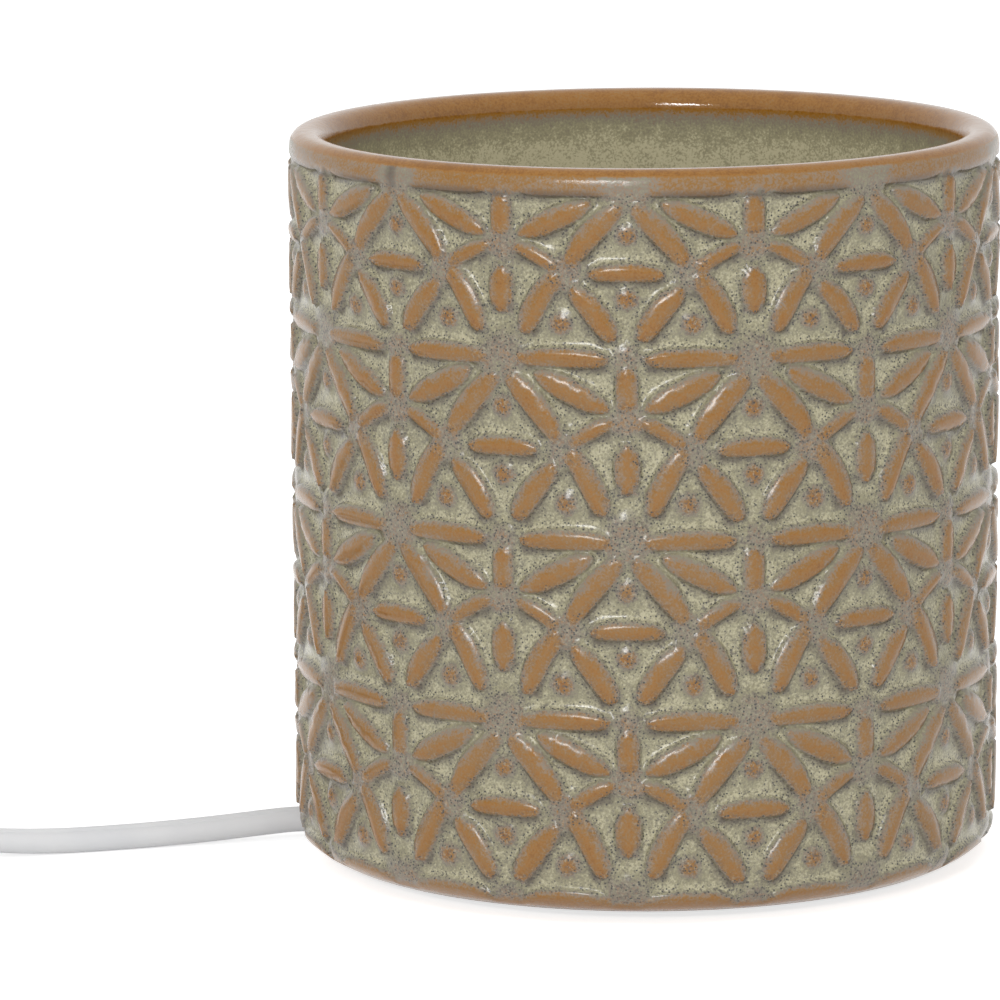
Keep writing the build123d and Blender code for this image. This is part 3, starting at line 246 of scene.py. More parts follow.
def cell_points():
    """Places for the mesh of half a cell: its border, along the ribs' edges, the dots, the rest."""
    points = []

    def clear(place, gap):
        return all((place - other).length > gap for other in points)

    def inside(place, margin):
        return margin < place.x < half_width - margin and margin < place.y < row_height - margin

    def add(place, gap):
        if inside(place, loop_spacing / 3) and clear(place, gap):
            points.append(place)

    up_count = round(border_count * row_height / half_width)
    for step in range(border_count):
        points.append(Vector((half_width * step / border_count, 0.0)))
        points.append(Vector((half_width * (step + 1) / border_count, row_height)))
    for step in range(up_count):
        points.append(Vector((half_width, row_height * step / up_count)))
        points.append(Vector((0.0, row_height * (step + 1) / up_count)))
    for start, end, left, left_shape, right, right_shape in ribs:
        run = end - start
        along, side = run.normalized(), Vector((-run.y, run.x)).normalized()
        steps = max(round(run.length * loop_stretch / loop_spacing), fewest_loop_steps)
        for inset in loop_insets:
            for step in range(steps + 1):
                share = (1 - math.cos(math.pi * step / steps)) / 2
                line = start + run * share - along * inset * math.cos(math.pi * share)
                for reach, shape, sign in ((left, left_shape, 1), (right, right_shape, -1)):
                    out = swell(share, reach, shape) - inset
                    if out > 0:
                        add(line + side * sign * out, loop_gap)
        for step in range(1, steps):
            add(start + run * step / steps, rib_gap)
    for place in dots:
        add(place, dot_gap)
        for share, count in dot_rings:
            for step in range(count):
                turn = math.tau * step / count
                add(place + Vector((math.cos(turn), math.sin(turn))) * (dot_radius * share), rib_gap)
    for row in range(int(row_height / field_spacing)):
        for column in range(int(half_width / field_spacing) + 1):
            shift = 0.5 if row % 2 else 0.0
            add(Vector(((column + shift) * field_spacing, (row + 0.5) * field_spacing)), field_gap)
    return points


def glaze_maps():
    """How the glaze lies on half a cell, on a fine grid: its thickness, where dark specks gather,
    and the dark line at the ribs' foot, partly the glaze's dark outline and partly painted shade."""
    across, up = round(half_width / map_step), round(row_height / map_step)
    columns = (np.arange(across) + 0.5) * half_width / across
    u, v = np.meshgrid(columns, (np.arange(up) + 0.5) * row_height / up)
    half = relief(u, v)
    row = np.hstack([half, half[:, ::-1]])
    height = np.vstack([row, np.roll(row, across, axis=1)])
    waves = np.fft.fft2(height)
    down = np.fft.fftfreq(height.shape[0], d=row_height / up)[:, None]
    over = np.fft.fftfreq(height.shape[1], d=half_width / across)[None, :]

    def softened(radius):
        return np.real(np.fft.ifft2(waves * np.exp(-2 * (math.pi * radius) ** 2 * (down**2 + over**2))))

    near, middle, wide = softened(edge_blur), softened(rib_blur), softened(wide_blur)
    edge = (near - middle) * to_mm
    proud = (middle - wide) * to_mm
    slope = np.gradient(softened(slope_blur), row_height / up, axis=0)
    level = near * to_mm
    pooled = softened(pool_blur) * to_mm
    thickness = (
        glaze_even - edge_thinning * edge - proud_thinning * proud
        - drip_thinning * slope - level_thinning * (pooled - hub_level * to_mm)
    )
    hollow = smooth(-level, *speckled_depths)
    shelf = smooth(-np.gradient(softened(shelf_blur), row_height / up, axis=0), *shelf_slopes)
    margin = smooth(-pooled, *margin_depths) * (1 - smooth(-pooled, *pool_depths))
    specks = np.maximum(hollow * (least_specks + (1 - least_specks) * shelf), margin * margin_specks)
    across_slope = np.gradient(softened(slope_blur), half_width / across, axis=1)
    # Painted shade, in part: a dark line at the foot of the ribs' downward-facing flanks, where shadow falls,
    # along with the glaze's own dark outline there.
    steep = downhill_share * slope + any_slope_share * np.hypot(slope, across_slope)
    line = smooth(steep, *outline_and_shade_slopes) * smooth(-level, *outline_and_shade_depths) * (1 - smooth(-level, *outline_and_shade_end_depths))
    thickness, specks, line = thickness[:up, :across], specks[:up, :across], line[:up, :across]
    for place in dots:
        apart = np.hypot(u - place.x, v - place.y)
        thickness = thickness - dot_thinning * np.exp(-((apart / dot_amber_radius) ** 2))
    for place, inner, outer in hubs:
        apart = np.hypot(u - place.x, v - place.y)
        specks = np.maximum(specks, hub_specks * (1 - smooth(apart, inner, outer * hub_specks_reach)))
    return thickness, specks, line


def sampled(grid, place):
    """A map's value at a place in half a cell, between its grid points."""
    rows, columns = grid.shape
    x = min(max(place.x / half_width * columns - 0.5, 0), columns - 1.001)
    y = min(max(place.y / row_height * rows - 0.5, 0), rows - 1.001)
    column, row = int(x), int(y)
    x, y = x - column, y - row
    low = grid[row, column] * (1 - x) + grid[row, column + 1] * x
    high = grid[row + 1, column] * (1 - x) + grid[row + 1, column + 1] * x
    return low * (1 - y) + high * y


def wall_point(turn, level, height):
    """A place on the outside: the wall's own radius and height, and the relief on it."""
    drop = max(foot_radius - level, 0)
    radius = body_radius - foot_radius + math.sqrt(foot_radius**2 - drop**2) + height
    return Vector((radius * math.sin(turn), -radius * math.cos(turn), level + body_foot))


def shell_profile():
    """The smooth rest of the shell, from the lip round inside and under to the foot's rounding:
    radius, level, glaze (None as its neighbour), whether it is bare clay, and a sharp corner."""
    top = body_foot + body_height
    rings = []
    for lean in map(math.radians, lip_leans):
        out, high = lip_radius * math.cos(lean), lip_radius * math.sin(lean)
        glaze = None if lean < lip_amber_lean else lip_glaze
        rings.append((body_radius - lip_radius + out, top - lip_radius + high, glaze, 0, False))
    for lean in map(math.radians, lip_inner_leans):
        out, drop = lip_inner_radius * (1 + math.cos(lean)), lip_inner_radius * (1 - math.sin(lean))
        rings.append((well_radius + out, top - drop, lip_glaze, 0, False))
    for level, glaze in well_glazes:
        rings.append((well_radius, level, glaze, 0, False))
    rings += [
        (well_radius, ledge_height, ledge_glaze, 0, True),
        (ledge_radius + ledge_round, ledge_height, ledge_edge_glaze, 0, False),
        (ledge_radius, ledge_height - ledge_round, clay_glaze, 0, False),
        (ledge_radius, ledge_height - ledge_thickness, clay_glaze, 1, True),
        (well_radius, ledge_height - ledge_thickness - ledge_width, clay_glaze, 1, True),
        (well_radius, shoulder_top + shoulder_width, clay_glaze, 1, True),
        (shoulder_radius, shoulder_top, clay_glaze, 1, True),
        (shoulder_radius, cover_top, clay_glaze, 1, True),
        (foot_bore_radius, cover_top, clay_glaze, 1, True),
        (foot_bore_radius, body_foot, clay_glaze, 1, True),
        (body_radius - foot_radius, body_foot, lip_glaze, foot_bareness, False),
    ]
    for lean in map(math.radians, foot_leans):
        out, high = foot_radius * math.cos(lean), foot_radius * (1 + math.sin(lean))
        rings.append((body_radius - foot_radius + out, body_foot + high, foot_glaze, 0, False))
    return rings


def drip_mark(turn):
    """How much a place round the rim shows the one dark run of glaze under the lip."""
    apart = abs((turn - drip_turn + math.pi) % math.tau - math.pi) * body_radius
    return drip_line * (1 - smooth(apart, *drip_width))


def row_at(grid, level):
    """The vertices at one level, in order round the body."""
    return [grid[key] for key in sorted(key for key in grid if key[1] == level)]


def band_between(shape, first, second):
    """The faces between two rings of as many vertices."""
    for index in range(len(first)):
        after = (index + 1) % len(first)
        shape.faces.new((first[index], first[after], second[after], second[index]))


def ceramic_shell():
    """The body's mesh: half a cell of lattice, mirrored round and up, then the smooth rest."""
    points = cell_points()
    flat, _, triangles, *_ = delaunay_2d_cdt(points, [], [], 0, merge_distance)
    flat = [Vector(place) for place in flat]
    heights = relief(np.array([p.x for p in flat]), np.array([p.y for p in flat]))
    maps = dict(zip(("glaze", "specks", "line"), glaze_maps()))
    marks = {name: [sampled(grid, place) for place in flat] for name, grid in maps.items()}
    shape = bmesh.new()
    layers = {name: shape.verts.layers.float.new(name) for name in ("glaze", "specks", "line", "bare")}
    full_round = round(cell_width * repeats * per_micron)
    grid = {}
    sharp_pairs = []
    for row in range(row_count):
        for column in range(repeats * 2):
            mirrored = (row + column) % 2 == 1
            own = []
            for index, place in enumerate(flat):
                u = half_width - place.x if mirrored else place.x
                level = row_levels[row] + (row_levels[row + 1] - row_levels[row]) * place.y / row_height
                around = round((column * half_width + u) * per_micron) % full_round
                key = (around, round(level * per_micron))
                if key in grid:
                    own.append(grid[key])
                    continue
                turn = lattice_turn + (column * half_width + u) / body_radius
                ring = smooth(level, ring_low - ring_lead, ring_low + ring_tail)
                haze = 1 - smooth(star_distance(place), *haze_reach)
                height = heights[index] * (1 - ring) + ring * ring_height
                wander = Vector((math.sin(turn), math.cos(turn), level * wobble_stretch)) * wobble_pitch
                wobble = noise.noise(wander) * wobble_depth
                vertex = shape.verts.new(wall_point(turn, level, height + wobble))
                band = ring_glaze + (haze_glaze - ring_glaze) * haze
                vertex[layers["glaze"]] = marks["glaze"][index] * (1 - ring) + band * ring
                vertex[layers["specks"]] = marks["specks"][index] * (1 - ring)
                # Painted shade, in part: the dark line under the ring's lower edge; the drip below the lip is a
                # real run of glaze.
                above = level - ring_low
                under_ring = smooth(above, *under_ring_rise) * (1 - smooth(above, *under_ring_fall))
                line = max(marks["line"][index] * (1 - ring), under_ring * under_ring_outline_and_shade * (1 - haze))
                drip = drip_mark(turn) * smooth(level, drip_low, drip_low + drip_fade)
                vertex[layers["line"]] = max(line, drip)
                grid[key] = vertex
                own.append(vertex)
            for corners in triangles:
                face = [own[corner] for corner in corners]
                if mirrored:
                    face.reverse()
                if len(set(face)) == 3:
                    shape.faces.new(face)
    lower, ring = (row_at(grid, round(level * per_micron)) for level in (row_levels[0], row_levels[-1]))
    for radius, level, glaze, bare, sharp in shell_profile():
        fresh = []
        for vertex in ring:
            out = Vector((vertex.co.x, vertex.co.y)).normalized() * radius
            new = shape.verts.new((out.x, out.y, level))
            new[layers["glaze"]] = vertex[layers["glaze"]] if glaze is None else glaze
            new[layers["bare"]] = bare
            if glaze is None:
                new[layers["line"]] = drip_mark(math.atan2(out.x, -out.y))
            fresh.append(new)
        band_between(shape, ring, fresh)
        ring = fresh
        if sharp:
            sharp_pairs += zip(ring, ring[1:] + ring[:1])
    band_between(shape, ring, lower)
    for first, second in sharp_pairs:
        edge = shape.edges.get((first, second))
        if edge:
            edge.smooth = False
    bmesh.ops.remove_doubles(shape, verts=shape.verts, dist=weld_distance)
    mesh = bpy.data.meshes.new("glazed_body")
    for face in shape.faces:
        face.smooth = True
    shape.to_mesh(mesh)
    shape.free()
    return mesh


def finish_named(name):
    """A new material with an empty tree but for its surface shader and output."""
    material = bpy.data.materials.new(name)
    material.use_nodes = True
    tree = material.node_tree
    tree.nodes.clear()
    surface = tree.nodes.new("ShaderNodeBsdfPrincipled")
    output = tree.nodes.new("ShaderNodeOutputMaterial")
    tree.links.new(surface.outputs["BSDF"], output.inputs["Surface"])
    return material, tree, surface


def colour_steps(tree, factor, *stops):
    """A colour ramp: each stop is a place from 0 to 1 and a colour."""
    ramp = tree.nodes.new("ShaderNodeValToRGB")
    for element, (place, colour) in zip(ramp.color_ramp.elements, (stops[0], stops[-1])):
        element.position, element.color = place, (*colour, 1)
    for place, colour in stops[1:-1]:
        ramp.color_ramp.elements.new(place).color = (*colour, 1)
    tree.links.new(factor, ramp.inputs["Fac"])
    return ramp.outputs["Color"]


def place_on(tree):
    """Where a point lies on the piece, in Object coordinates."""
    return tree.nodes.new("ShaderNodeTexCoord").outputs["Object"]


def noise_of(tree, scale, detail=2.0, roughness=0.5, stretch=(1, 1, 1)):
    """Noise on Object coordinates, in patches of one over the scale in metres."""
    mapping = tree.nodes.new("ShaderNodeMapping")
    mapping.inputs["Scale"].default_value = stretch
    pattern = tree.nodes.new("ShaderNodeTexNoise")
    pattern.inputs["Scale"].default_value = scale
    pattern.inputs["Detail"].default_value = detail
    pattern.inputs["Roughness"].default_value = roughness
    tree.links.new(place_on(tree), mapping.inputs["Vector"])
    tree.links.new(mapping.outputs["Vector"], pattern.inputs["Vector"])
    return pattern.outputs["Fac"]


def spread(tree, value, low, high, start, end):
    """The value's span from low to high, moved to run from start to end."""
    span = tree.nodes.new("ShaderNodeMapRange")
    for key, number in (("From Min", low), ("From Max", high), ("To Min", start), ("To Max", end)):
        span.inputs[key].default_value = number
    tree.links.new(value, span.inputs["Value"])
    return span.outputs["Result"]


def bump_on(tree, surface, height, depth):
    """A bump of the given depth in metres on the surface's normal."""
    bump = tree.nodes.new("ShaderNodeBump")
    bump.inputs["Distance"].default_value = depth
    tree.links.new(height, bump.inputs["Height"])
    tree.links.new(bump.outputs["Normal"], surface.inputs["Normal"])


def put_on(piece, material):
    """The one finish of a piece, whatever slots it came with."""
    piece.data.materials.clear()
    piece.data.materials.append(material)


def mix_colour(tree, factor, first, second):
    """Two colours mixed by a factor; either may be a socket or a plain colour."""
    mix = tree.nodes.new("ShaderNodeMix")
    mix.data_type = "RGBA"
    for socket, value in ((mix.inputs[0], factor), (mix.inputs[6], first), (mix.inputs[7], second)):
        if isinstance(value, (tuple, float, int)):
            socket.default_value = (*value, 1) if isinstance(value, tuple) else value
        else:
            tree.links.new(value, socket)
    return mix.outputs[2]


def sum_of(tree, first, second, weight=1.0, base=0.0):
    """first + second x weight + base, as two math nodes."""
    scaled = tree.nodes.new("ShaderNodeMath")
    scaled.operation = "MULTIPLY_ADD"
    tree.links.new(second, scaled.inputs[0])
    scaled.inputs[1].default_value = weight
    scaled.inputs[2].default_value = base
    total = tree.nodes.new("ShaderNodeMath")
    total.operation = "ADD"
    tree.links.new(first, total.inputs[0])
    tree.links.new(scaled.outputs[0], total.inputs[1])
    return total.outputs[0]


def times(tree, first, second, clamped=True):
    """first x second, kept between 0 and 1 if clamped; the second may be a plain number."""
    product = tree.nodes.new("ShaderNodeMath")
    product.operation = "MULTIPLY"
    product.use_clamp = clamped
    for socket, value in zip(product.inputs, (first, second)):
        if isinstance(value, float):
            socket.default_value = value
        else:
            tree.links.new(value, socket)
    return product.outputs[0]


def dress(tree, surface, tone, rough):
    """The colour and the roughness, wired to the surface."""
    tree.links.new(tone, surface.inputs["Base Color"])
    tree.links.new(rough, surface.inputs["Roughness"])


def mark_on(tree, name):
    """One of the marks that the body's mesh carries at its vertices."""
    mark = tree.nodes.new("ShaderNodeAttribute")
    mark.attribute_name = name
    return mark.outputs["Fac"]


glaze_grain_scale, glaze_mottle_scale, glaze_region_scale = 2600.0, 420.0, 28.0
glaze_ripple = 0.00006
speck_scale, cluster_scale, smoke_scale, pale_scale, clay_scale = 1700.0, 620.0, 1900.0, 2300.0, 1500.0
pale_speck, smoke_speck, dark_speck = (0.46, 0.42, 0.31), (0.095, 0.085, 0.075), (0.040, 0.042, 0.040)
# Dark brown of the foot lines, which are partly painted shade under the ribs and the ring, and of the real glaze
# drip under the lip.
outline_shade_and_drip_brown = (0.070, 0.050, 0.038)
mottle_share, grain_share, region_share = 0.42, 0.75, 0.22
speck_edges, cluster_edges, smoke_edges, pale_edges = (0.16, 0.34), (0.34, 0.56), (0.50, 0.64), (0.54, 0.66)
pale_strength, smoke_strength, outline_shade_and_drip_strength = 0.55, 0.95, 0.88
clay_dark, clay_light = (0.50, 0.42, 0.34), (0.58, 0.50, 0.42)
bare_roughness = 0.8


def body_glaze_finish():
    """Amber where the glaze is thin, purple grey as it thickens, speckled green where it pools."""
    material, tree, surface = finish_named("body_glaze")
    grain = noise_of(tree, glaze_grain_scale, 1.0, 0.6)
    mottle = noise_of(tree, glaze_mottle_scale, 2.0)
    region = noise_of(tree, glaze_region_scale, 1.0)
    glaze = mark_on(tree, "glaze")
    unrest = sum_of(tree, times(tree, mottle, mottle_share), grain, grain_share, -(mottle_share + grain_share) / 2)
    settled = spread(tree, glaze, 0.16, 0.46, 0.58, 1.0)
    depth = sum_of(tree, glaze, times(tree, unrest, settled, clamped=False))
    depth = sum_of(tree, depth, region, region_share, -region_share / 2)
    tone = colour_steps(
        tree, depth,
        (0.0, (0.225, 0.088, 0.007)), (0.12, (0.300, 0.128, 0.014)), (0.24, (0.272, 0.143, 0.040)),
        (0.36, (0.282, 0.186, 0.108)), (0.48, (0.236, 0.193, 0.145)), (0.58, (0.245, 0.217, 0.153)),
        (0.74, (0.285, 0.262, 0.164)), (0.88, (0.350, 0.324, 0.206)), (1.0, (0.500, 0.462, 0.305)),
    )
    cells = tree.nodes.new("ShaderNodeTexVoronoi")
    cells.inputs["Scale"].default_value = speck_scale
    tree.links.new(place_on(tree), cells.inputs["Vector"])
    specks = mark_on(tree, "specks")
    round_specks = spread(tree, cells.outputs["Distance"], *speck_edges, 1.0, 0.0)
    clusters = sum_of(tree, specks, noise_of(tree, cluster_scale, 2.0, 0.6), 1.3, -0.65)
    chosen = spread(tree, clusters, *cluster_edges, 0.0, 1.0)
    smoke = spread(tree, noise_of(tree, smoke_scale, 3.0, 0.65), *smoke_edges, 0.0, 1.0)
    pale = spread(tree, noise_of(tree, pale_scale, 2.0, 0.6), *pale_edges, 0.0, 1.0)
    tone = mix_colour(tree, times(tree, times(tree, pale, specks), pale_strength), tone, pale_speck)
    tone = mix_colour(tree, times(tree, times(tree, smoke, specks), smoke_strength), tone, smoke_speck)
    tone = mix_colour(tree, times(tree, round_specks, chosen), tone, dark_speck)
    # Painted shade, in part: the foot lines under the ribs and the ring darken to brown, as does the real drip
    # under the lip.
    tone = mix_colour(tree, times(tree, mark_on(tree, "line"), outline_shade_and_drip_strength), tone, outline_shade_and_drip_brown)
    clay_grain = spread(tree, noise_of(tree, clay_scale), 0.3, 0.7, 0.0, 1.0)
    clay = mix_colour(tree, clay_grain, clay_dark, clay_light)
    tone = mix_colour(tree, mark_on(tree, "bare"), tone, clay)
    shine = sum_of(tree, spread(tree, glaze, 0.08, 0.20, 0.09, 0.24), grain, 0.12, -0.06)
    rough = tree.nodes.new("ShaderNodeMath")
    rough.operation = "MAXIMUM"
    tree.links.new(shine, rough.inputs[0])
    tree.links.new(times(tree, mark_on(tree, "bare"), bare_roughness), rough.inputs[1])
    dress(tree, surface, tone, rough.outputs[0])
    bump_on(tree, surface, sum_of(tree, mottle, grain, 0.3), glaze_ripple)
    return material


# The cord's notch, cut through the foot with overruns inwards, outwards and down.
notch_width, notch_height, notch_round = 0.012, 0.0057, 0.003
notch_round_steps = 6
notch_overrun, notch_under = 0.004, 0.006
exit_turn = math.radians(175)
exit_height = 0.0033


def exit_point(reach):
    """A place on the cord's way out through the notch, so far from the body's axis."""
    return Vector((reach * math.cos(exit_turn), reach * math.sin(exit_turn), exit_height))


glazed_body = set_in_scene("glazed_body", ceramic_shell())
bpy.ops.mesh.primitive_cube_add(size=1.0)
notch = bpy.context.active_object
notch.scale = (body_radius - shoulder_radius + notch_overrun, notch_width, notch_height + notch_under)
notch.location = exit_point((body_radius + shoulder_radius) / 2).xy.to_3d()
notch.location.z = body_foot + notch_height - (notch_height + notch_under) / 2
notch.rotation_euler = (0, 0, exit_turn)
bpy.ops.object.transform_apply(location=True, rotation=True, scale=True)
bpy.ops.object.mode_set(mode="EDIT")
bpy.ops.mesh.select_all(action="DESELECT")
shape = bmesh.from_edit_mesh(notch.data)
out = Vector((math.cos(exit_turn), math.sin(exit_turn), 0))
for edge in shape.edges:
    run = (edge.verts[1].co - edge.verts[0].co).normalized()
    edge.select = abs(run.dot(out)) > 0.99 and edge.verts[0].co.z > body_foot
bmesh.update_edit_mesh(notch.data)
bpy.ops.mesh.bevel(offset=notch_round, segments=notch_round_steps, affect="EDGES")
bpy.ops.object.mode_set(mode="OBJECT")
bpy.ops.object.select_all(action="DESELECT")
bpy.context.view_layer.objects.active = glazed_body
glazed_body.select_set(True)
cut = glazed_body.modifiers.new("notch", "BOOLEAN")
cut.object = notch
cut.solver = "FAST"
bpy.ops.object.modifier_apply(modifier=cut.name)
bpy.data.objects.remove(notch)
put_on(glazed_body, body_glaze_finish())
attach(glazed_body, "warmer")
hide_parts("ceramic_body")


# Wax dish: a thrown stoneware bowl that lifts out of the well, under the body's own glaze,
# thin at its rim and pooled green inside. Its foot ring is left bare where it stands.
def on_nodes(material, *names):
    """A finish given to CAD nodes, through their own material slots."""
    for name in names:
        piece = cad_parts[name]
        if not piece.data.materials:
            piece.data.materials.append(material)
        for index in range(len(piece.data.materials)):
            piece.data.materials[index] = material


def heights_of(tree, low, high):
    """0 at the low height in metres to 1 at the high one."""
    parts = tree.nodes.new("ShaderNodeSeparateXYZ")
    tree.links.new(place_on(tree), parts.inputs["Vector"])
    return spread(tree, parts.outputs["Z"], low, high, 0.0, 1.0)


rim_amber, rim_band, bare_band = (0.30, 0.15, 0.05), 0.003, 0.0012


def dish_glaze_finish():
    material, tree, surface = finish_named("dish_glaze")
    base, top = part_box("wax_dish")[0][2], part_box("wax_dish")[1][2]
    grain = noise_of(tree, glaze_grain_scale, 1.0, 0.6)
    mottle = noise_of(tree, glaze_mottle_scale, 2.0)
    thin = sum_of(tree, heights_of(tree, top - rim_band, top), mottle, 0.5, -0.25)
    depth = sum_of(tree, mottle, grain, 0.5, -0.25)
    pooled = colour_steps(tree, depth, (0.3, (0.26, 0.24, 0.17)), (0.7, (0.36, 0.35, 0.24)))
    tone = mix_colour(tree, times(tree, thin, 1.0), pooled, rim_amber)
    foot = spread(tree, heights_of(tree, base, base + bare_band), 0.4, 0.9, 1.0, 0.0)
    clay = colour_steps(tree, noise_of(tree, clay_scale), (0.3, (0.42, 0.33, 0.25)), (0.7, (0.52, 0.43, 0.34)))
    tone = mix_colour(tree, times(tree, foot, 1.0), tone, clay)
    dress(tree, surface, tone, spread(tree, foot, 0.0, 1.0, 0.2, 0.75))
    bump_on(tree, surface, mottle, glaze_ripple)
    return material


on_nodes(dish_glaze_finish(), "wax_dish")


# Warming plate and its ring: the plate is cast aluminium, grey and softly grained, turned on
# its top face; the ring that seals it to the ledge is pale silicone.
def turned_marks(tree, pitch):
    """Fine rings about the pot's upright axis, as a lathe tool leaves them."""
    rings = tree.nodes.new("ShaderNodeTexWave")
    rings.wave_type, rings.rings_direction = "RINGS", "Z"
    rings.inputs["Scale"].default_value = math.tau / pitch / 20
    rings.inputs["Distortion"].default_value = 0.6
    rings.inputs["Detail"].default_value = 1.0
    tree.links.new(place_on(tree), rings.inputs["Vector"])
    return rings.outputs["Fac"]


def plain_finish(name, dark, light, rough, scale, metal=0.0, bump=0.00002, stretch=(1, 1, 1), marks=None):
    """Colour and roughness that wander between two ends at one scale, with a bump that the
    stretch draws out and lathe marks of a given pitch may ring."""
    material, tree, surface = finish_named(name)
    mottle = noise_of(tree, scale, 3.0, 0.55, stretch)
    tone = colour_steps(tree, mottle, (0.3, dark), (0.7, light))
    dress(tree, surface, tone, spread(tree, noise_of(tree, scale * 0.3), 0.3, 0.7, *rough))
    surface.inputs["Metallic"].default_value = metal
    fine = noise_of(tree, scale * 4, 2.0, 0.5, stretch)
    bump_on(tree, surface, fine if marks is None else sum_of(tree, turned_marks(tree, marks), fine, 0.4), bump)
    return material


lathe_pitch = 0.0007
cast_aluminium = plain_finish(
    "cast_aluminium", (0.46, 0.46, 0.47), (0.58, 0.58, 0.58), (0.34, 0.5), 600.0,
    metal=1.0, bump=0.00003, marks=lathe_pitch,
)
on_nodes(cast_aluminium, "warming_plate")
silicone = plain_finish("silicone", (0.60, 0.58, 0.53), (0.68, 0.66, 0.61), (0.5, 0.65), 300.0)
on_nodes(silicone, "plate_gasket", "shield_grommet")


# Heater: a wound resistance strip between two discs of silky brown mica, which a zinc-plated
# disc presses up to the plate.
def mica_finish():
    material, tree, surface = finish_named("mica")
    flakes = tree.nodes.new("ShaderNodeTexVoronoi")
    flakes.inputs["Scale"].default_value = 260.0
    tree.links.new(place_on(tree), flakes.inputs["Vector"])
    sheen = sum_of(tree, flakes.outputs["Distance"], noise_of(tree, 120.0, 4.0), 0.8, -0.2)
    tones = (0.1, (0.30, 0.22, 0.12)), (0.5, (0.42, 0.34, 0.21)), (0.9, (0.52, 0.45, 0.32))
    rough = spread(tree, flakes.outputs["Distance"], 0.0, 0.6, 0.22, 0.42)
    dress(tree, surface, colour_steps(tree, sheen, *tones), rough)
    bump_on(tree, surface, flakes.outputs["Distance"], 0.00003)
    return material


on_nodes(mica_finish(), "mica_upper", "mica_lower")
resistance_strip = plain_finish(
    "resistance_strip", (0.22, 0.19, 0.17), (0.34, 0.30, 0.26), (0.35, 0.5), 500.0, metal=1.0, stretch=(8, 1, 1)
)
on_nodes(resistance_strip, "heating_element")
sheet_steel = plain_finish(
    "sheet_steel", (0.42, 0.42, 0.42), (0.55, 0.55, 0.54), (0.28, 0.42), 380.0, metal=1.0, stretch=(1, 14, 1)
)
on_nodes(sheet_steel, "clamp_plate", "heat_shield", "fuse_clip")


# Pillars, screws and nuts: bright turned steel, zinc plated, with the tool's rings on them.
# The pillars tie the plate, the shield and the base cover together.
turned_steel = plain_finish(
    "turned_steel", (0.47, 0.47, 0.46), (0.62, 0.62, 0.60), (0.2, 0.34), 900.0, metal=1.0, stretch=(1, 1, 12)
)
on_nodes(turned_steel, "upper_pillars", "lower_pillars", "base_screws", "terminal_screws")
on_nodes(turned_steel, "block_screw", "block_nut", "switch_screws")


# Thermal fuse: a nickel-plated case that opens the circuit if the heater runs away, held to
# the shield by a steel clip and soft rivets.
fuse_case = plain_finish(
    "fuse_case", (0.52, 0.50, 0.45), (0.64, 0.62, 0.56), (0.2, 0.36), 700.0, metal=1.0, stretch=(10, 1, 1)
)
on_nodes(fuse_case, "thermal_fuse")
rivet_aluminium = plain_finish(
    "rivet_aluminium", (0.60, 0.60, 0.60), (0.72, 0.72, 0.72), (0.25, 0.42), 1100.0, metal=1.0
)
on_nodes(rivet_aluminium, "fuse_rivets")


# Terminal block: fired steatite, off-white and faintly speckled, screwed to the shield, with
# drawn brass inserts that the switch's contacts match.
def steatite_finish():
    material, tree, surface = finish_named("steatite")
    mottle = noise_of(tree, 500.0, 3.0)
    specks = spread(tree, noise_of(tree, 2400.0, 1.0), 0.66, 0.72, 0.0, 0.5)
    tone = colour_steps(tree, mottle, (0.3, (0.66, 0.645, 0.60)), (0.7, (0.73, 0.715, 0.68)))
    tone = mix_colour(tree, times(tree, specks, 1.0), tone, (0.36, 0.33, 0.28))
    dress(tree, surface, tone, spread(tree, mottle, 0.3, 0.7, 0.42, 0.58))
    bump_on(tree, surface, noise_of(tree, 1600.0, 2.0), 0.00004)
    return material


on_nodes(steatite_finish(), "terminal_block")
terminal_brass = plain_finish(
    "terminal_brass", (0.50, 0.33, 0.11), (0.66, 0.46, 0.18), (0.24, 0.38), 600.0, metal=1.0, stretch=(1, 1, 8)
)
on_nodes(terminal_brass, "terminal_brasses", "contact_bridge", "switch_contacts")


# Inner wiring: the heater's and the fuse's leads are wires in varnished glass sleeves, woven
# white, that stand the heat under the plate.
def glass_sleeve_finish():
    material, tree, surface = finish_named("glass_sleeve")
    braid = []
    for stretch in ((1.0, 1.0, 0.4), (0.4, 1.0, 1.0)):
        mapping = tree.nodes.new("ShaderNodeMapping")
        mapping.inputs["Scale"].default_value = stretch
        mapping.inputs["Rotation"].default_value = (0.6, 0.6 * stretch[0], 0.78)
        wave = tree.nodes.new("ShaderNodeTexWave")
        wave.inputs["Scale"].default_value = 420.0
        wave.inputs["Distortion"].default_value = 1.0
        tree.links.new(place_on(tree), mapping.inputs["Vector"])
        tree.links.new(mapping.outputs["Vector"], wave.inputs["Vector"])
        braid.append(wave.outputs["Fac"])
    weave = sum_of(tree, braid[0], braid[1], 1.0, -0.5)
    tones = (0.0, (0.46, 0.45, 0.41)), (0.6, (0.68, 0.67, 0.62)), (1.0, (0.76, 0.75, 0.71))
    dress(tree, surface, colour_steps(tree, weave, *tones), spread(tree, weave, 0.0, 1.0, 0.6, 0.45))
    bump_on(tree, surface, weave, 0.00008)
    return material


on_nodes(glass_sleeve_finish(), "neutral_lead", "live_lead", "fuse_lead")


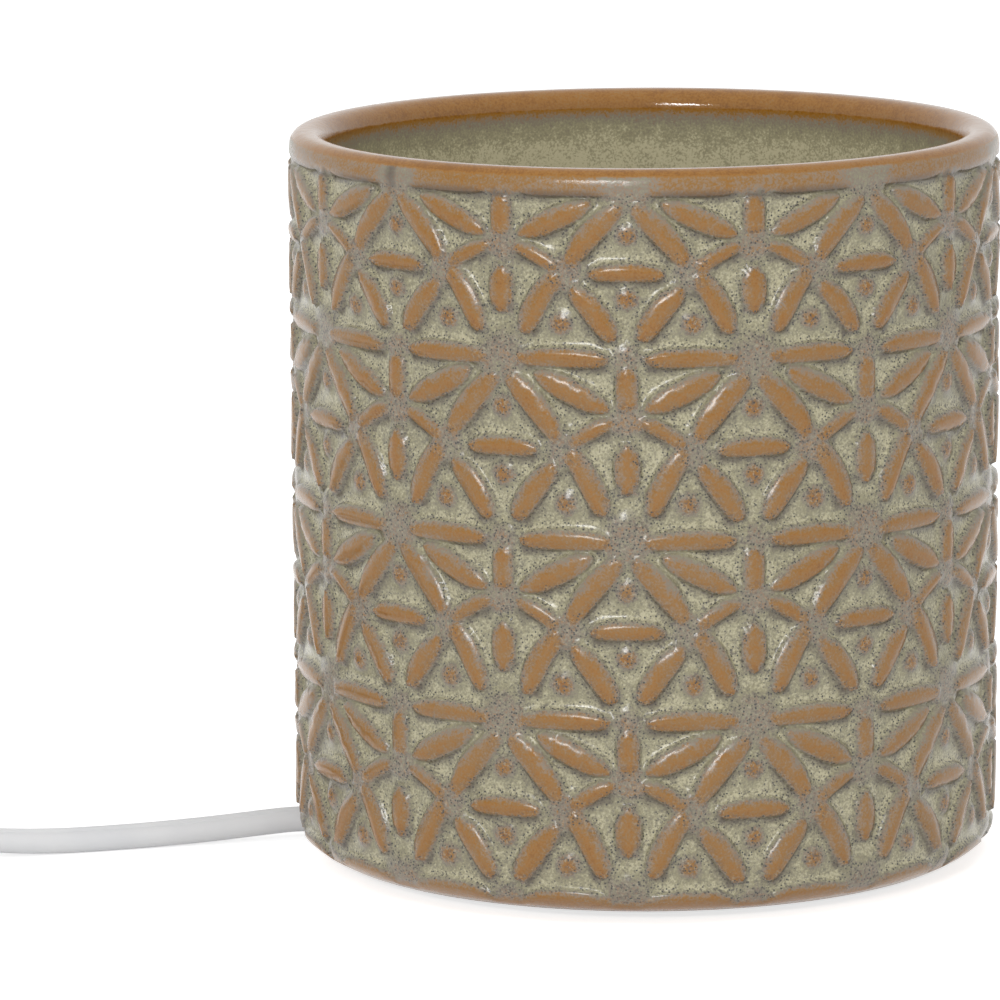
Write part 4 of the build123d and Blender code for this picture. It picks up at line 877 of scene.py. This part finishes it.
# Base cover and feet: a black moulded disc with a fine spark-eroded grain, screwed up to the
# pillars, on four push-in feet of soft black rubber.
black_moulding = plain_finish(
    "black_moulding", (0.020, 0.020, 0.021), (0.034, 0.034, 0.035), (0.42, 0.56), 1500.0, bump=0.00008
)
on_nodes(black_moulding, "base_cover")
black_rubber = plain_finish(
    "black_rubber", (0.016, 0.016, 0.016), (0.030, 0.029, 0.028), (0.6, 0.78), 800.0, bump=0.00004
)
on_nodes(black_rubber, "rubber_feet")


# Flat twin cord: two cores side by side in one white sheath, 6.8 by 3.4 mm. The first
# stretch leaves the notch in the foot and runs over the table to the switch.
cord_thickness = 0.0034
core_steps = 12
core_open_angle = 0.55
groove_share = 0.47
switch_start = Vector((-0.120, -0.014, 0.0))
switch_heading = math.radians(203)
parting_height = 0.004


def table_point(out, across, height):
    """A place on the table, so far out from the body's left side."""
    return Vector((-body_radius - out, across, height))


def switch_point(along, height):
    """A place so far along the switch from the end where the cord goes in."""
    x, y = along * math.cos(switch_heading), along * math.sin(switch_heading)
    return switch_start + Vector((x, y, height))


def cord_line(name, route):
    """The places along a NURBS curve that takes the route's points as its control points."""
    curve = bpy.data.curves.new(name, "CURVE")
    curve.dimensions = "3D"
    spline = curve.splines.new("NURBS")
    spline.points.add(len(route) - 1)
    for control, place in zip(spline.points, route):
        control.co = (*place, 1)
    spline.order_u = 3
    spline.use_endpoint_u = True
    spline.resolution_u = 6
    holder = bpy.data.objects.new(name, curve)
    line = bpy.data.meshes.new_from_object(holder)
    places = [vertex.co.copy() for vertex in line.vertices]
    bpy.data.objects.remove(holder)
    bpy.data.meshes.remove(line)
    return places


def twin_outline():
    """The sheath's section, counted round: one core, the groove, the other core, the groove."""
    radius = cord_thickness / 2
    outline = []
    for side in (1, -1):
        for step in range(core_steps + 1):
            turn = (step / core_steps * 2 - 1) * (math.pi - core_open_angle)
            outline.append((side * radius * (1 + math.cos(turn)), side * radius * math.sin(turn)))
        outline.append((0.0, side * radius * groove_share))
    return outline


def cord_mesh(name, places):
    """The sheath swept level along the places, closed at both ends."""
    outline = twin_outline()
    shape = bmesh.new()
    rings = []
    for index, place in enumerate(places):
        before, after = places[max(index - 1, 0)], places[min(index + 1, len(places) - 1)]
        heading = (after - before).normalized()
        side = heading.cross(Vector((0, 0, 1))).normalized()
        up = side.cross(heading)
        rings.append([shape.verts.new(place + side * out + up * high) for out, high in outline])
    for first, second in zip(rings, rings[1:]):
        band_between(shape, first, second)
    shape.faces.new(list(reversed(rings[0])))
    shape.faces.new(rings[-1])
    bmesh.ops.recalc_face_normals(shape, faces=shape.faces)
    mesh = bpy.data.meshes.new(name)
    shape.to_mesh(mesh)
    shape.free()
    mesh.shade_smooth()
    return set_in_scene(name, mesh)


def sheath_finish():
    """White extruded sheath: a satin skin with a trace of handling."""
    material, tree, surface = finish_named("white_sheath")
    mottle = noise_of(tree, 90.0, 3.0)
    tone = colour_steps(tree, mottle, (0.3, (0.70, 0.71, 0.73)), (0.7, (0.76, 0.765, 0.775)))
    dress(tree, surface, tone, spread(tree, mottle, 0.3, 0.7, 0.42, 0.52))
    surface.inputs["Subsurface Weight"].default_value = 0.08
    surface.inputs["Subsurface Radius"].default_value = (0.002, 0.002, 0.002)
    bump_on(tree, surface, noise_of(tree, 700.0, 2.0), 0.00003)
    return material


white_sheath = sheath_finish()
white_rubber = plain_finish("white_rubber", (0.66, 0.665, 0.67), (0.74, 0.74, 0.74), (0.5, 0.62), 400.0)
on_nodes(white_sheath, "inner_lead", "core_tails")
on_nodes(white_rubber, "strain_relief")
relief_tip_radius = 0.0545
exit_lead = 0.003
socket_lead = 0.0065
socket_depth = 0.008
lead_places = cord_line("lead_to_switch_line", [
    exit_point(relief_tip_radius),
    exit_point(relief_tip_radius + exit_lead),
    table_point(0.0058, 0.00385, 0.00295),
    table_point(0.0150, 0.00175, 0.00225),
    table_point(0.0275, -0.0015, 0.0018),
    table_point(0.0425, -0.0059, 0.0019),
    switch_point(-socket_lead, parting_height),
    switch_point(socket_depth, parting_height),
])
lead_to_switch = cord_mesh("lead_to_switch", lead_places)
put_on(lead_to_switch, white_sheath)
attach(lead_to_switch, "warmer")
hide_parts("power_cord")


# In-line switch: two white shells of moulded plastic screwed together over the cord, with a
# rocker of the same stuff between them.
def moulding_finish(name, dark, light, rough):
    """Moulded plastic: colour and gloss that wander a little, with a fine grain."""
    material, tree, surface = finish_named(name)
    mottle = noise_of(tree, 60.0, 2.0)
    tone = colour_steps(tree, mottle, (0.3, dark), (0.7, light))
    dress(tree, surface, tone, spread(tree, noise_of(tree, 210.0, 3.0), 0.3, 0.7, *rough))
    surface.inputs["Subsurface Weight"].default_value = 0.05
    surface.inputs["Subsurface Radius"].default_value = (0.001, 0.001, 0.001)
    bump_on(tree, surface, noise_of(tree, 2200.0, 1.0), 0.00002)
    return material


white_moulding = moulding_finish("white_moulding", (0.66, 0.665, 0.66), (0.72, 0.72, 0.71), (0.26, 0.4))
on_nodes(white_moulding, "switch_base", "switch_cover", "switch_rocker")


# The rest of the lead: round from the switch to a neat coil of two layers, in on the lower
# one and out on the upper, then up and over its rim into the plug that lies on it.
switch_length = 0.056
lying_height = 0.00175
coil_centre = Vector((-0.1713, 0.029, lying_height))
coil_inner_radius = 0.0282
coil_radial_pitch = 0.0075
coil_layer_pitch = 0.0039
quarters_per_layer = 9
steps_per_quarter = 4
step_angle = math.pi / 2 / steps_per_quarter
# Such a curve runs a little inside the ring of its control points, which stand out by this much.
polygon_reach = 8 / (6 + 2 * math.cos(step_angle))
plug_height = 0.01465


def climb(quarter, middle):
    """How far the cord has climbed to its next layer, over the two quarters about the middle."""
    share = min(max((quarter - middle + 1) / 2, 0), 1)
    return share * share * (3 - 2 * share)


def coil_point(quarter):
    """A place in the coil, so many quarter turns past the middle of the lower layer's end."""
    turn = math.pi - (quarter + quarters_per_layer) * math.pi / 2
    outward = quarters_per_layer - abs(quarter - quarters_per_layer) if quarter > 0 else -quarter
    radius = (coil_inner_radius + coil_radial_pitch * outward / 4) * polygon_reach
    layer = climb(quarter, 0) + climb(quarter, quarters_per_layer)
    return coil_centre + Vector((radius * math.cos(turn), radius * math.sin(turn), layer * coil_layer_pitch))


first_step = 1 - quarters_per_layer * steps_per_quarter
last_step = (quarters_per_layer + 1) * steps_per_quarter
turn_points = [coil_point(step / steps_per_quarter) for step in range(first_step, last_step + 1)]
coil_side = coil_centre.x - coil_inner_radius - coil_radial_pitch * quarters_per_layer / 4
return_places = cord_line("lead_to_plug_line", [
    switch_point(switch_length - socket_depth, parting_height),
    switch_point(switch_length + socket_lead, parting_height),
    table_point(0.1334, -0.0385, 0.0030),
    table_point(0.1453, -0.0337, 0.0020),
    table_point(0.1544, -0.0246, lying_height),
    table_point(0.1595, -0.0125, lying_height),
    table_point(0.1600, 0.0005, lying_height),
    Vector((coil_side, 0.0120, lying_height)),
    Vector((coil_side, 0.0222, lying_height)),
    *turn_points,
    Vector((-0.1840, -0.0140, 0.0103)),
    Vector((-0.1960, -0.0108, 0.0116)),
    Vector((-0.2045, -0.0028, 0.0131)),
    Vector((-0.2085, 0.0080, 0.0143)),
    Vector((-0.2093, 0.0165, plug_height)),
    Vector((-0.2093, 0.0215, plug_height)),
    Vector((-0.2093, 0.0300, plug_height)),
])
lead_to_plug = cord_mesh("lead_to_plug", return_places)
put_on(lead_to_plug, white_sheath)
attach(lead_to_plug, "warmer")
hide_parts("cord_return", "cord_coil")


# Plug: moulded on to the cord in one piece, satin white, round the roots of its two blades,
# which are stamped from brass strip.
white_plug = moulding_finish("white_plug", (0.64, 0.645, 0.65), (0.70, 0.70, 0.70), (0.34, 0.48))
on_nodes(white_plug, "plug_body")
blade_brass = plain_finish(
    "blade_brass", (0.56, 0.40, 0.16), (0.68, 0.51, 0.23), (0.16, 0.3), 500.0, metal=1.0, stretch=(12, 1, 1)
)
on_nodes(blade_brass, "plug_blades")


# Floor and light: a white sweep that the camera sees as plain white, but for the pot's own
# shadow, under a key window at the camera's left, paler ones at the right and above, and a
# low one that looks into the well.
floor_reach = 6.0
floor_tone = 0.80
floor_roughness = 0.9
floor_lift = 0.72
sky_strength = 0.40


def seen_plainly(tree):
    """1 for what the camera sees, straight or in gloss or glass; 0 for the light on things."""
    path = tree.nodes.new("ShaderNodeLightPath")
    either = path.outputs["Is Camera Ray"]
    for kind in ("Is Glossy Ray", "Is Transmission Ray"):
        larger = tree.nodes.new("ShaderNodeMath")
        larger.operation = "MAXIMUM"
        tree.links.new(either, larger.inputs[0])
        tree.links.new(path.outputs[kind], larger.inputs[1])
        either = larger.outputs[0]
    return either


bpy.ops.mesh.primitive_plane_add(size=floor_reach, location=(0, 0, 0))
floor = bpy.context.active_object
floor.name = "floor"
floor_material, floor_tree, floor_surface = finish_named("floor_white")
floor_surface.inputs["Base Color"].default_value = (floor_tone, floor_tone, floor_tone, 1)
floor_surface.inputs["Roughness"].default_value = floor_roughness
floor_surface.inputs["Emission Color"].default_value = (1, 1, 1, 1)
floor_glow = spread(floor_tree, seen_plainly(floor_tree), 0.0, 1.0, 0.0, floor_lift)
floor_tree.links.new(floor_glow, floor_surface.inputs["Emission Strength"])
put_on(floor, floor_material)


def window_light(name, place, target, width, height, power, glossy=False):
    """A soft window; only a glossy one shows as a highlight."""
    data = bpy.data.lights.new(name, "AREA")
    data.shape = "RECTANGLE"
    data.size, data.size_y, data.energy = width, height, power
    lamp = set_in_scene(name, data)
    lamp.location = place
    lamp.rotation_euler = (Vector(target) - Vector(place)).to_track_quat("-Z", "Y").to_euler()
    lamp.visible_glossy = glossy


window_light("key", (-0.34, -1.27, 0.56), (0, 0, 0.06), 0.36, 0.14, 5.6, glossy=True)
window_light("fill", (1.0, -0.7, 0.6), (0, 0, 0.06), 0.8, 0.8, 1.8)
window_light("top", (0.1, -0.4, 1.15), (0, 0, 0.08), 0.9, 0.9, 5.0)
window_light("well", (-0.62, 0.0, 0.72), (0.04, 0, 0.10), 0.5, 0.5, 1.4)
studio = bpy.data.worlds.new("studio")
bpy.context.scene.world = studio
studio.use_nodes = True
sky = studio.node_tree.nodes["Background"]
sky.inputs["Color"].default_value = (1, 1, 1, 1)
sky_glow = spread(studio.node_tree, seen_plainly(studio.node_tree), 0.0, 1.0, sky_strength, 1.0)
studio.node_tree.links.new(sky_glow, sky.inputs["Strength"])

bpy.context.scene.view_settings.view_transform = "Standard"
